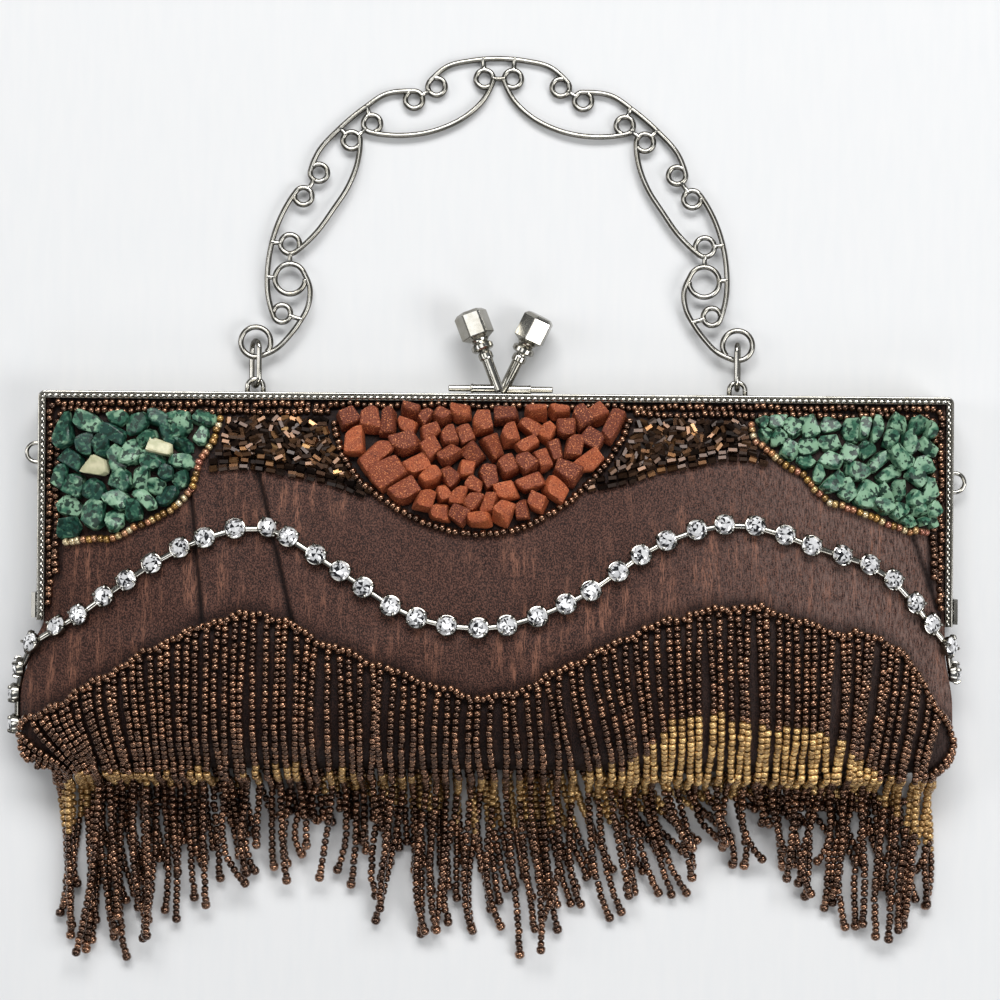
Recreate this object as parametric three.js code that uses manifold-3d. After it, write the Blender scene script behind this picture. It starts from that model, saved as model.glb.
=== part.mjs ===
// A beaded evening clutch lying on its back: a satin pouch on a hinged metal frame,
// with stone chips, a cup chain, a beaded fringe and a scrollwork wire handle.
// Millimetres. +X is the bag's width, +Y points to the handle, +Z is up out of its front.
// The origin is on the flat of the back, on which the bag lies.

import * as THREE from "three";
import { mergeVertices } from "three/addons/utils/BufferGeometryUtils.js";
import Module from "manifold-3d";

// Clearance between neighbouring pieces, and how far a cut runs past the wall that it opens
const GAP = 0.3;
const CUT_PAST = 1;

// Frame: two channels bent to a U, the front half over the back half
const FRAME_HALF_WIDTH = 109;
const FRAME_TOP = 39.7;
const ARM_END = -15;
const CHANNEL_WALL = 0.7;
const CHANNEL_FACE = 1.8;
const CHANNEL_HEIGHT = 5.2;
const CORNER_RADIUS = 1.6;
const INNER_CORNER_RADIUS = 0.8;
const BACK_HALF_Z = GAP;
const FRONT_HALF_Z = BACK_HALF_Z + CHANNEL_HEIGHT + GAP;
const BACK_MIDDLE_Z = BACK_HALF_Z + CHANNEL_HEIGHT / 2;
const FRONT_MIDDLE_Z = FRONT_HALF_Z + CHANNEL_HEIGHT / 2;

// Hinge plates outside the arm ends, each with a peg into either half
const HINGE_PLATE = { length: 6, width: 10, thickness: 0.9, fromArmEnd: 3.6 };
const PEG_RADIUS = 0.7;
const PEG_PAST_WALL = 0.2;
const PEG_SIDES = 6;

// Kiss-lock posts: where each foot stands, its lean to the side and its knob's level
const CLASP_POSTS = [
  { name: "clasp_post_front", x: 0.4, lean: 21, outward: -1, footZ: FRONT_MIDDLE_Z, knobZ: 6.8 },
  { name: "clasp_post_back", x: 1.8, lean: 26, outward: 1, footZ: BACK_MIDDLE_Z, knobZ: 4.8 },
];
const FOOT_BAR = { radius: 1, thinRadius: 0.75, heel: 0.6, length: 6.2, thinLength: 5.6 };
const POST_PROFILE = [
  { along: -0.4, radius: 1.15 },
  { along: 7.6, radius: 1.15 },
  { along: 7.8, radius: 1.65 },
  { along: 9.2, radius: 1.65 },
  { along: 9.4, radius: 1.25 },
  { along: 9.8, radius: 2.7 },
  { along: 11.6, radius: 2.7 },
  { along: 11.8, radius: 1.7 },
  { along: 13.2, radius: 1.7 },
];
const KNOB_PROFILE = [
  { along: 12.5, radius: 2.7 },
  { along: 13.7, radius: 4.1 },
  { along: 18.6, radius: 4.1 },
  { along: 19.9, radius: 2.5 },
];
const POST_SIDES = 8;
const KNOB_SIDES = 6;

// Handle staples, side loops and links, all of bent wire
const WIRE_SIDES = 5;
const BOW_STEPS = 6;
const STAPLE = { radius: 1.9, rise: 3.4, wire: 0.6 };
const STAPLE_X = 58;
const SIDE_LOOP = { radius: 2.3, rise: 3.9, wire: 0.5 };
const SIDE_LOOP_Y = { left: 25, right: 19.4 };
const LINK = { halfWidth: 2.2, length: 12.1, wire: 0.62, bottom: 1.1 };
const LINK_STEPS = 12;
const LINK_TURN = { left: 28, right: -9 };

// Handle: soldered wire rings and scrolls, measured from the bag's middle and the frame's top
const HANDLE_WIRE = 0.66;
const HANDLE_RINGS = {
  crown: { x: 3.4, up: 76.4, radius: 2.1 },
  topOuter: { x: 15.0, up: 74.4, radius: 2.1 },
  upperA: { x: 20.4, up: 71.2, radius: 2.1 },
  innerA: { x: 30.5, up: 65.3, radius: 2.1 },
  innerB: { x: 35.4, up: 61.2, radius: 2.1 },
  upperB: { x: 43.2, up: 53.3, radius: 2.1 },
  lowerA: { x: 46.9, up: 47.6, radius: 2.1 },
  lowerB: { x: 50.0, up: 36.0, radius: 2.3 },
  large: { x: 49.9, up: 27.6, radius: 3.65 },
  lowerC: { x: 51.8, up: 19.2, radius: 2.1 },
  end: { x: 58.0, up: 12.3, radius: 3.6 },
};
// Each scroll is one wire whose ends curl to rings: turn 1 winds the rings anticlockwise
const HANDLE_SCROLLS = [
  {
    from: "upperA", to: "upperB", turn: -1,
    via: [[27.2, 72.5], [32.4, 69.1], [38.6, 63.8], [43.6, 58]],
  },
  {
    from: "lowerA", to: "lowerC", turn: -1,
    via: [[51.9, 43.4], [54.2, 37], [55.3, 30], [55.2, 24]],
  },
  {
    from: "crown", to: "innerA", turn: 1,
    via: [[3.6, 71.4], [7.6, 67.5], [14, 64.2], [24.4, 62.5]],
  },
  {
    from: "innerB", to: "lowerB", turn: 1,
    via: [[33.8, 56.5], [36, 50.3], [39.8, 44.3], [43.9, 38.6]],
  },
  {
    from: "large", to: "end", turn: 1,
    via: [[45.1, 25.4], [45.6, 20.8], [47.5, 17.2], [50, 13.8], [53.2, 10.6]],
  },
];
const HANDLE_ARCH = {
  ring: "topOuter",
  via: [[12.6, 79.2], [6.4, 80.8], [0, 81.3], [-6.4, 80.8], [-12.6, 79.2]],
};
const EYE_STEPS = 6;
const EYE_GAP = 0.1;
// Each solder joint runs from a ring to another ring or to a point on a scroll
const HANDLE_SOLDER = [
  { from: "topOuter", to: "upperA" },
  { from: "innerA", to: "innerB" },
  { from: "upperB", to: "lowerA" },
  { from: "lowerB", to: "large" },
  { from: "innerA", at: [31.8, 69.4] },
  { from: "innerB", at: [38.2, 64.1] },
  { from: "lowerB", at: [54.3, 36.4] },
  { from: "large", at: [55.3, 28.0] },
  { from: "lowerC", at: [47.1, 17.8] },
  { from: "crown", at: [3.8, 81.2] },
];
const SOLDER = { radius: 0.5, sides: 4 };
const HANDLE_TOP_UP = Math.max(...HANDLE_ARCH.via.map(([, up]) => up));
const HANDLE_AXIS_UP = HANDLE_RINGS.end.up - HANDLE_RINGS.end.radius;
const HANDLE_AXIS_Z = BACK_MIDDLE_Z;
const HANDLE_REST_CLEARANCE = 0.15;

// Pouch: sections across the bag from the mouth to the bottom. left and right are its reach,
// frontEdge and backEdge the levels of its side edges, belly the front's rise between them,
// back the level of its underside, ledge the flat rim and turn where the underside turns up.
const POUCH_WALL = 1.4;
const RIM = { left: 107.8, right: 107.8, frontEdge: 9.1, backEdge: 2.1, ledge: 1.7, turn: 0.975 };
const SIDE = { frontEdge: 9.6, backEdge: 4.4, ledge: 0.4, turn: 0.87 };
const POUCH_SECTIONS = [
  { ...RIM, y: 38.6, belly: 0, back: 2.1 },
  { ...RIM, y: 36.6, belly: 0.2, back: 2.1 },
  { ...RIM, y: 33.6, belly: 2.3, back: 0 },
  { ...RIM, y: 26, belly: 5.2, back: 0 },
  { ...RIM, y: 14, belly: 8.8, back: 0 },
  { ...RIM, y: 1, belly: 12.4, back: 0 },
  { ...RIM, y: -14.6, belly: 15.6, back: 0 },
  { ...SIDE, y: -20, left: 109.6, right: 107.5, belly: 16.2, back: 0 },
  { ...SIDE, y: -34, left: 112.6, right: 109, belly: 16.6, back: 0 },
  { ...SIDE, y: -44, left: 111.4, right: 108.4, belly: 13, back: 0 },
  { ...SIDE, y: -47.9, left: 108, right: 105.4, belly: 8, back: 0.6 },
  { ...SIDE, y: -49.5, left: 103, right: 101, belly: 1.6, back: 3.2 },
];
const BELLY_POWER = 3.2;
const BELLY_ROUND = 0.75;
// Where the sections have corners, by share of the half width
const FRONT_SHARES = [
  -0.96, -0.86, -0.672, -0.656, -0.58, -0.5, -0.484, -0.38, -0.18, 0.04, 0.26, 0.48, 0.7, 0.86, 0.96,
];
const BACK_SHARES = [RIM.turn, SIDE.turn, 0.4, -0.4, -SIDE.turn, -RIM.turn];
// How far the hollow runs out of the mouth and of the sides above the hinges
const MOUTH_CUT = 2;
const SIDE_CUT = 4;
// Pressed pleats of the front: share of the half width, height of the step and run of its slope
const PLEATS = [
  { at: -0.664, depth: 1.3, run: 0.13 },
  { at: -0.492, depth: 1.2, run: 0.15 },
];
const PLEAT_EASE = 0.05;
const PLEAT_ENDS = { top: 30, topFade: 12, bottom: -20, bottomFade: 14 };

// Lines sewn over the front, by share of the half width: the cup chain and the fringe's heading
const FRONT_LINES = [
  { share: -1.0, chain: -20, heading: -38 },
  { share: -0.87, chain: -9.6, heading: -29.5 },
  { share: -0.68, chain: 3.0, heading: -18 },
  { share: -0.51, chain: 7.1, heading: -12.6 },
  { share: -0.35, chain: -2.2, heading: -19.8 },
  { share: -0.18, chain: -13, heading: -26.8 },
  { share: 0, chain: -15.4, heading: -31.4 },
  { share: 0.18, chain: -8.8, heading: -23 },
  { share: 0.37, chain: 4.4, heading: -13.6 },
  { share: 0.54, chain: 8.8, heading: -10.2 },
  { share: 0.72, chain: 3.2, heading: -15.6 },
  { share: 0.88, chain: -3.6, heading: -20.6 },
  { share: 1.0, chain: -18, heading: -39 },
];

// Cup chain: set stones on short bars, carried down the left side of the pouch
const CUP = {
  base: 2.2, girdle: 2.5, table: 1.5, barHeight: 0.9, girdleHeight: 1.9, height: 2.9, sides: 8,
};
const CUP_PITCH = 7.1;
const CHAIN_LIFT = 0.7;
const CHAIN_FRONT_REACH = 0.97;
const CHAIN_FRONT_STEPS = 50;
// level runs from 0 at the side's back edge to 1 at its front edge
const CHAIN_SIDE_ROWS = [
  { side: -1, y: -22.5, level: 1.2 },
  { side: -1, y: -27.5, level: 0.6 },
  { side: -1, y: -33.5, level: 0.5 },
  { side: -1, y: -40, level: 0.5 },
  { side: 1, y: -21, level: 1.05 },
  { side: 1, y: -26, level: 0.6 },
];

// Fields of stone chips: quarter ellipses in the upper corners and a half-moon in the middle
const CHIP_GROUND = 1;
const GROUND_LIFT = 2 * GAP;
const STONE_FIELDS = [
  {
    name: "stones_red", outline: "moon", x: -4.1, top: 35, halfWidth: 33.6, depth: 26.6,
    count: 48, height: 3.4, seed: 11, colour: 0xa8502f,
  },
  {
    name: "stones_green_left", outline: "corner", x: -103.6, top: 35, halfWidth: 38, depth: 29.6,
    inward: 1, count: 32, height: 3, seed: 23, colour: 0x4a7f66,
  },
  {
    name: "stones_green_right", outline: "corner", x: 103.6, top: 35, halfWidth: 42, depth: 26.4,
    inward: -1, count: 32, height: 3, seed: 37, colour: 0x4a7f66,
  },
];
// Lower edge of the half-moon: depth share = (1 - |width share|^power)^round
const MOON_EDGE = { power: 1.8, round: 0.6 };
const CHIP_TRIES = 16;
const CHIP_SETTLING = 2;
const CHIP_SHRINK = 0.74;
const CHIP_TILT = 0.5;
const CHIP_HEIGHT_SHARE = { least: 0.8, spread: 0.4 };
const FIELD_EDGE_STEPS = 14;
const CORNER_SNAP = 0.05;
const RANDOM = { factor: 48271, modulus: 2147483647 };

// Fringe: locks of beaded strands that run over the belly and down to where the bag lies
const FRINGE = {
  locks: 18, headLeft: -110, headRight: 106.8, tipLeft: -104, tipRight: 105,
  length: 60.4, ridge: 2.2, valley: 1.1, floor: 0.3, tipShare: 0.62,
};
const FRINGE_LIFT = 1;
const FRINGE_HEAD_RUN = 2;
const FRINGE_SHOULDER_DROP = 0.4;
const FRINGE_BELLY_Y = -34;
const FRINGE_TURN_Y = -44;
const FRINGE_DROP = [
  { y: -50.2, z: 16.6 },
  { y: -53.0, z: 6.4 },
  { y: -57.4, z: 0.45 },
];
const FRINGE_SPLIT_ROW = 4;

const METAL = { color: 0xc8c3b4, roughness: 0.3, metalness: 1 };
const SATIN = { color: 0x4a342f, roughness: 0.5, metalness: 0 };
const CRYSTAL = { color: 0xd9dbe0, roughness: 0.1, metalness: 0.4 };
const BEADS = { color: 0x3a2116, roughness: 0.25, metalness: 0.5 };

const wasm = await Module();
wasm.setup();

// A closed solid from a geometry, with shared corners merged and its faces turned outwards
function solidOf(geometry) {
  const plain = geometry.clone();
  plain.deleteAttribute("normal");
  plain.deleteAttribute("uv");
  const merged = mergeVertices(plain, 1e-4);
  const corners = merged.index.array;
  const triangles = [];
  for (let i = 0; i < corners.length; i += 3) {
    const [a, b, c] = [corners[i], corners[i + 1], corners[i + 2]];
    if (a !== b && b !== c && c !== a) triangles.push([a, b, c]);
  }
  const point = (index) => new THREE.Vector3().fromBufferAttribute(merged.attributes.position, index);
  const sixVolumes = triangles.reduce((sum, [a, b, c]) => sum + point(a).dot(point(b).cross(point(c))), 0);
  const outward = sixVolumes < 0 ? triangles.map(([a, b, c]) => [a, c, b]) : triangles;
  return new wasm.Manifold(new wasm.Mesh({
    numProp: 3,
    vertProperties: Float32Array.from(merged.attributes.position.array),
    triVerts: Uint32Array.from(outward.flat()),
  }));
}

function geometryOf(solid) {
  const mesh = solid.getMesh();
  const geometry = new THREE.BufferGeometry();
  geometry.setAttribute("position", new THREE.BufferAttribute(Float32Array.from(mesh.vertProperties), 3));
  geometry.setIndex(new THREE.BufferAttribute(Uint32Array.from(mesh.triVerts), 1));
  return geometry;
}

function fuse(geometries) {
  return geometries.map(solidOf).reduce((whole, piece) => whole.add(piece));
}

function mesh(name, geometry, finish) {
  const piece = new THREE.Mesh(geometry, new THREE.MeshStandardMaterial(finish));
  piece.name = name;
  return piece;
}

// A closed surface through rings of points, with a fan from the middle over each end
function loft(rings) {
  const size = rings[0].length;
  const points = rings.flat();
  const faces = [];
  for (let row = 0; row + 1 < rings.length; row++) {
    for (let i = 0; i < size; i++) {
      const a = row * size + i;
      const b = row * size + (i + 1) % size;
      faces.push(a, b, b + size, a, b + size, a + size);
    }
  }
  const middle = (ring) => {
    const sum = ring.reduce((total, point) => total.add(point), new THREE.Vector3());
    return sum.divideScalar(size);
  };
  const last = (rings.length - 1) * size;
  const first = points.push(middle(rings[0])) - 1;
  const end = points.push(middle(rings.at(-1))) - 1;
  for (let i = 0; i < size; i++) {
    const after = (i + 1) % size;
    faces.push(first, after, i, end, last + i, last + after);
  }
  const geometry = new THREE.BufferGeometry().setFromPoints(points);
  geometry.setIndex(faces);
  return geometry;
}

function roundSection(radius, sides) {
  const turn = (i) => (2 * Math.PI * (i + 0.5)) / sides;
  const corner = (_, i) => new THREE.Vector2(radius * Math.cos(turn(i)), radius * Math.sin(turn(i)));
  return new THREE.Shape(Array.from({ length: sides }, corner));
}

function wireAlong(curve, steps, radius) {
  return new THREE.ExtrudeGeometry(roundSection(radius, WIRE_SIDES), {
    steps, bevelEnabled: false, extrudePath: curve,
  });
}

// A round bar between two points
function bar(start, end, radius, sides) {
  const along = end.clone().sub(start);
  const geometry = new THREE.CylinderGeometry(radius, radius, along.length(), sides);
  const upright = new THREE.Vector3(0, 1, 0);
  geometry.applyQuaternion(new THREE.Quaternion().setFromUnitVectors(upright, along.clone().normalize()));
  geometry.translate(...start.clone().add(end).multiplyScalar(0.5).toArray());
  return geometry;
}

// Frame

function channelOutline(outside, inside, armEnd) {
  const wide = FRAME_HALF_WIDTH - outside;
  const high = FRAME_TOP - outside;
  const round = Math.max(CORNER_RADIUS - outside, INNER_CORNER_RADIUS);
  const outline = new THREE.Shape();
  outline.moveTo(-wide, armEnd);
  outline.lineTo(-wide, high - round);
  outline.absarc(-wide + round, high - round, round, Math.PI, Math.PI / 2, true);
  outline.lineTo(wide - round, high);
  outline.absarc(wide - round, high - round, round, Math.PI / 2, 0, true);
  outline.lineTo(wide, armEnd);
  outline.lineTo(FRAME_HALF_WIDTH - inside, armEnd);
  outline.lineTo(FRAME_HALF_WIDTH - inside, FRAME_TOP - inside);
  outline.lineTo(inside - FRAME_HALF_WIDTH, FRAME_TOP - inside);
  outline.lineTo(inside - FRAME_HALF_WIDTH, armEnd);
  return outline;
}

function channelHalf(z, holes) {
  const block = new THREE.ExtrudeGeometry(channelOutline(0, CHANNEL_FACE, ARM_END), {
    depth: CHANNEL_HEIGHT, bevelEnabled: false, curveSegments: 3,
  });
  const slotOutline = channelOutline(CHANNEL_WALL, CHANNEL_FACE + CUT_PAST, ARM_END - CUT_PAST);
  const slot = new THREE.ExtrudeGeometry(slotOutline, {
    depth: CHANNEL_HEIGHT - 2 * CHANNEL_WALL, bevelEnabled: false, curveSegments: 2,
  });
  slot.translate(0, 0, CHANNEL_WALL);
  const half = solidOf(block.translate(0, 0, z)).subtract(solidOf(slot.translate(0, 0, z)));
  return geometryOf(holes.reduce((rest, hole) => rest.subtract(solidOf(hole)), half));
}

// Holes through the channel's outer wall for pegs and wire legs, clear of a peg's corners
const holeRadius = (radius) => (radius + GAP) / Math.cos(Math.PI / PEG_SIDES);

function topHole(x, z, radius) {
  const outer = new THREE.Vector3(x, FRAME_TOP + CUT_PAST, z);
  const inner = new THREE.Vector3(x, FRAME_TOP - CHANNEL_WALL - CUT_PAST, z);
  return bar(outer, inner, holeRadius(radius), PEG_SIDES);
}

function armHole(side, y, z, radius) {
  const outer = new THREE.Vector3(side * (FRAME_HALF_WIDTH + CUT_PAST), y, z);
  const inner = new THREE.Vector3(side * (FRAME_HALF_WIDTH - CHANNEL_WALL - CUT_PAST), y, z);
  return bar(outer, inner, holeRadius(radius), PEG_SIDES);
}

const hingeY = ARM_END + HINGE_PLATE.fromArmEnd;
const hingeHoles = (z) => [-1, 1].map((side) => armHole(side, hingeY, z, PEG_RADIUS));
const footPegX = (post) => post.x + (post.outward * FOOT_BAR.length) / 2;
const clasp = Object.fromEntries(CLASP_POSTS.map((post) => [post.name, post]));
const stapleHoles = [-1, 1].flatMap((side) => [-1, 1].map((leg) => (
  topHole(side * STAPLE_X + leg * STAPLE.radius, BACK_MIDDLE_Z, STAPLE.wire)
)));
const sideLoopHoles = [-1, 1].flatMap((side) => [-1, 1].map((leg) => {
  const y = side < 0 ? SIDE_LOOP_Y.left : SIDE_LOOP_Y.right;
  return armHole(side, y + leg * SIDE_LOOP.radius, BACK_MIDDLE_Z, SIDE_LOOP.wire);
}));
const frameFront = channelHalf(FRONT_HALF_Z, [
  ...hingeHoles(FRONT_MIDDLE_Z),
  topHole(footPegX(clasp.clasp_post_front), FRONT_MIDDLE_Z, PEG_RADIUS),
]);
const frameBack = channelHalf(BACK_HALF_Z, [
  ...hingeHoles(BACK_MIDDLE_Z),
  topHole(footPegX(clasp.clasp_post_back), BACK_MIDDLE_Z, PEG_RADIUS),
  ...stapleHoles,
  ...sideLoopHoles,
]);

// Hinge plates

function hingePlate(side) {
  const { length, width, thickness } = HINGE_PLATE;
  const plateX = side * (FRAME_HALF_WIDTH + GAP + thickness / 2);
  const plate = new THREE.BoxGeometry(thickness, length, width);
  plate.translate(plateX, hingeY, (BACK_MIDDLE_Z + FRONT_MIDDLE_Z) / 2);
  const pegEnd = side * (FRAME_HALF_WIDTH - CHANNEL_WALL - PEG_PAST_WALL);
  const pegs = [BACK_MIDDLE_Z, FRONT_MIDDLE_Z].map((z) => (
    bar(new THREE.Vector3(plateX, hingeY, z), new THREE.Vector3(pegEnd, hingeY, z), PEG_RADIUS, PEG_SIDES)
  ));
  return geometryOf(fuse([plate, ...pegs]));
}

// Kiss-lock posts: the foot bar and its peg, a turned stem with collars and a six-sided knob

function turned(profile, sides) {
  const outline = profile.map(({ along, radius }) => new THREE.Vector2(radius, along));
  const start = new THREE.Vector2(0, profile[0].along);
  const end = new THREE.Vector2(0, profile.at(-1).along);
  return new THREE.LatheGeometry([start, ...outline, end], sides);
}

function claspPost(post) {
  const footY = FRAME_TOP + GAP + FOOT_BAR.radius;
  const foot = new THREE.Vector3(post.x, footY, post.footZ);
  const lean = THREE.MathUtils.degToRad(post.lean);
  const knobAlong = (KNOB_PROFILE[0].along + KNOB_PROFILE.at(-1).along) / 2;
  const tip = new THREE.Vector3(
    post.outward * knobAlong * Math.sin(lean), knobAlong * Math.cos(lean), post.knobZ - post.footZ,
  );
  const turn = new THREE.Quaternion().setFromUnitVectors(new THREE.Vector3(0, 1, 0), tip.normalize());
  const upright = [turned(POST_PROFILE, POST_SIDES), turned(KNOB_PROFILE, KNOB_SIDES)].map((geometry) => (
    geometry.applyQuaternion(turn).translate(...foot.toArray())
  ));
  const outwards = (distance) => foot.clone().add(new THREE.Vector3(post.outward * distance, 0, 0));
  const barEnd = outwards(FOOT_BAR.length + FOOT_BAR.thinLength);
  const thick = bar(outwards(-FOOT_BAR.heel), outwards(FOOT_BAR.length), FOOT_BAR.radius, PEG_SIDES);
  const thin = bar(outwards(FOOT_BAR.heel), barEnd, FOOT_BAR.thinRadius, PEG_SIDES);
  const pegTop = new THREE.Vector3(footPegX(post), footY, post.footZ);
  const pegEnd = pegTop.clone().setY(FRAME_TOP - CHANNEL_WALL - PEG_PAST_WALL / 2);
  return geometryOf(fuse([...upright, thick, thin, bar(pegTop, pegEnd, PEG_RADIUS, PEG_SIDES)]));
}

// Wire staples: two legs and a half-round bow, standing along +Y from y = 0

function stapleWire({ radius, rise, wire }) {
  const legEnd = -CHANNEL_WALL - PEG_PAST_WALL / 2;
  const points = [new THREE.Vector3(-radius, legEnd, 0)];
  const straight = rise - radius;
  for (let i = 0; i <= BOW_STEPS; i++) {
    const turn = Math.PI - (Math.PI * i) / BOW_STEPS;
    points.push(new THREE.Vector3(radius * Math.cos(turn), straight + radius * Math.sin(turn), 0));
  }
  points.push(new THREE.Vector3(radius, legEnd, 0));
  const path = new THREE.CurvePath();
  for (let i = 0; i + 1 < points.length; i++) path.add(new THREE.LineCurve3(points[i], points[i + 1]));
  return geometryOf(solidOf(wireAlong(path, BOW_STEPS + 4, wire)));
}

function placed(piece, x, y, z, turnZ) {
  piece.position.set(x, y, z);
  piece.rotation.z = turnZ;
  return piece;
}

// Oval links: a wire ring whose two halves are drawn apart, standing across the bag

function ovalLink() {
  const { halfWidth, length, wire } = LINK;
  const ring = new THREE.TorusGeometry(halfWidth, wire, WIRE_SIDES, LINK_STEPS);
  const spread = length / 2 - halfWidth - wire;
  const spot = ring.attributes.position;
  const seam = 1e-3;
  for (let i = 0; i < spot.count; i++) {
    const across = Math.hypot(spot.getX(i), spot.getY(i));
    const half = Math.abs(spot.getY(i)) < seam * across ? 0 : Math.sign(spot.getY(i));
    spot.setY(i, spot.getY(i) + half * spread);
  }
  ring.rotateY(Math.PI / 2);
  return geometryOf(solidOf(ring));
}

function link(name, side, turnDegrees) {
  const piece = mesh(name, ovalLink(), METAL);
  piece.position.set(side * STAPLE_X, FRAME_TOP + LINK.bottom + LINK.length / 2, HANDLE_AXIS_Z);
  piece.rotation.y = THREE.MathUtils.degToRad(turnDegrees);
  return piece;
}

// Handle, drawn flat in its own plane with its swing axis along X through y = 0

// A round wire through points of the handle's plane, with mitred corners
function planarWire(points) {
  const rings = points.map((point, i) => {
    const before = points[Math.max(i - 1, 0)];
    const after = points[Math.min(i + 1, points.length - 1)];
    const along = after.clone().sub(before).normalize();
    const across = new THREE.Vector3(along.y, -along.x, 0);
    return Array.from({ length: WIRE_SIDES }, (_, k) => {
      const angle = Math.PI / 2 + (2 * Math.PI * k) / WIRE_SIDES;
      const offset = across.clone().multiplyScalar(HANDLE_WIRE * Math.cos(angle));
      offset.z = HANDLE_WIRE * Math.sin(angle);
      return point.clone().add(offset);
    });
  });
  return loft(rings);
}

// The curl at a scroll's end, from where its wire leaves for the next point, round to where it
// comes back against itself
function eyePoints(ring, next, turn) {
  const middle = new THREE.Vector3(ring.x, ring.up, 0);
  const away = next.clone().sub(middle);
  const leave = Math.atan2(away.y, away.x) - turn * Math.acos(ring.radius / away.length());
  const open = Math.acos(1 - (2 * HANDLE_WIRE + EYE_GAP) / ring.radius);
  return Array.from({ length: EYE_STEPS + 1 }, (_, i) => {
    const angle = leave - turn * (2 * Math.PI - open) * (i / EYE_STEPS);
    const spoke = new THREE.Vector3(Math.cos(angle), Math.sin(angle), 0);
    return middle.clone().addScaledVector(spoke, ring.radius);
  });
}

function scrollWire(start, end, via, turn) {
  const middle = via.map(([x, up]) => new THREE.Vector3(x, up, 0));
  const first = eyePoints(start, middle[0], turn).reverse();
  const last = eyePoints(end, middle.at(-1), -turn);
  const points = [...first, ...middle, ...last];
  return planarWire(points).translate(0, -HANDLE_AXIS_UP, 0);
}

function handleGeometry() {
  const spot = (x, up) => new THREE.Vector3(x, up - HANDLE_AXIS_UP, 0);
  const pieces = [];
  for (const side of [1, -1]) {
    const ringAt = (name) => ({ ...HANDLE_RINGS[name], x: side * HANDLE_RINGS[name].x });
    for (const { from, to, via, turn } of HANDLE_SCROLLS) {
      const middle = via.map(([x, up]) => [side * x, up]);
      pieces.push(scrollWire(ringAt(from), ringAt(to), middle, side * turn));
    }
    for (const { from, to, at } of HANDLE_SOLDER) {
      const ring = ringAt(from);
      const other = to ? ringAt(to) : { x: side * at[0], up: at[1], radius: 0 };
      const start = spot(ring.x, ring.up);
      const end = spot(other.x, other.up);
      const along = end.clone().sub(start).normalize();
      start.addScaledVector(along, ring.radius);
      end.addScaledVector(along, -other.radius);
      pieces.push(bar(start, end, SOLDER.radius, SOLDER.sides));
    }
  }
  const arch = HANDLE_RINGS[HANDLE_ARCH.ring];
  pieces.push(scrollWire(arch, { ...arch, x: -arch.x }, HANDLE_ARCH.via, 1));
  const crown = HANDLE_RINGS.crown;
  const reach = crown.x - crown.radius;
  pieces.push(bar(spot(-reach, crown.up), spot(reach, crown.up), SOLDER.radius, SOLDER.sides));
  return geometryOf(fuse(pieces));
}

function handle() {
  const piece = mesh("handle", handleGeometry(), METAL);
  const reach = HANDLE_TOP_UP - HANDLE_AXIS_UP;
  const restHeight = HANDLE_WIRE + HANDLE_REST_CLEARANCE;
  piece.position.set(0, FRAME_TOP + HANDLE_AXIS_UP, HANDLE_AXIS_Z);
  piece.rotation.x = -Math.asin((HANDLE_AXIS_Z - restHeight) / reach);
  return piece;
}

// Pouch

// The section's values at any height y, read between the table's rows
function sectionAt(y) {
  const clamped = Math.min(Math.max(y, POUCH_SECTIONS.at(-1).y), POUCH_SECTIONS[0].y);
  const below = POUCH_SECTIONS.findIndex((row, i) => i > 0 && row.y <= clamped);
  const [a, b] = [POUCH_SECTIONS[below - 1], POUCH_SECTIONS[below]];
  const share = (a.y - clamped) / (a.y - b.y);
  return Object.fromEntries(Object.keys(a).map((key) => [key, a[key] + (b[key] - a[key]) * share]));
}

function frontAt(section, share) {
  const inside = Math.max(0, 1 - Math.abs(share) ** BELLY_POWER);
  return section.frontEdge + section.belly * inside ** BELLY_ROUND;
}

function backAt(section, share) {
  const past = Math.max(0, Math.abs(share) - section.turn) / (1 - section.turn);
  return section.back + (section.backEdge - section.back) * past ** 2;
}

function pleatFade(y) {
  const { top, topFade, bottom, bottomFade } = PLEAT_ENDS;
  return Math.max(0, Math.min(1, (top - y) / topFade, (y - bottom) / bottomFade));
}

function pleatRise(share, y) {
  const rise = ({ at, depth, run }) => (share < at ? 0 : depth * Math.max(0, 1 - (share - at) / run));
  return pleatFade(y) * PLEATS.reduce((sum, pleat) => sum + rise(pleat), 0);
}

const xAt = (section, share) => share * ((share < 0 ? section.left : section.right) - section.ledge);

function pouchRing(section, frontShares, backShares, pleated) {
  const rise = (share) => (pleated ? pleatRise(share, section.y) : 0);
  const point = (x, z) => new THREE.Vector3(x, section.y, z);
  return [
    point(-section.left, section.frontEdge),
    point(section.ledge - section.left, section.frontEdge),
    ...frontShares.map((share) => point(xAt(section, share), frontAt(section, share) + rise(share))),
    point(section.right - section.ledge, section.frontEdge),
    point(section.right, section.frontEdge),
    point(section.right, section.backEdge),
    point(section.right - section.ledge, section.backEdge),
    ...backShares.map((share) => point(xAt(section, share), backAt(section, share))),
    point(section.ledge - section.left, section.backEdge),
    point(-section.left, section.backEdge),
  ];
}

// The hollow is the same form one wall smaller. It runs out through the mouth, and through
// both sides down to the frame's hinges.
function hollowSection(section) {
  const open = section.y > ARM_END;
  const side = open ? -SIDE_CUT : POUCH_WALL;
  return {
    ...section,
    left: section.left - side,
    right: section.right - side,
    ledge: open ? section.ledge + SIDE_CUT : section.ledge,
    frontEdge: section.frontEdge - POUCH_WALL,
    backEdge: section.backEdge + POUCH_WALL,
    back: section.back + POUCH_WALL,
  };
}

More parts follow.
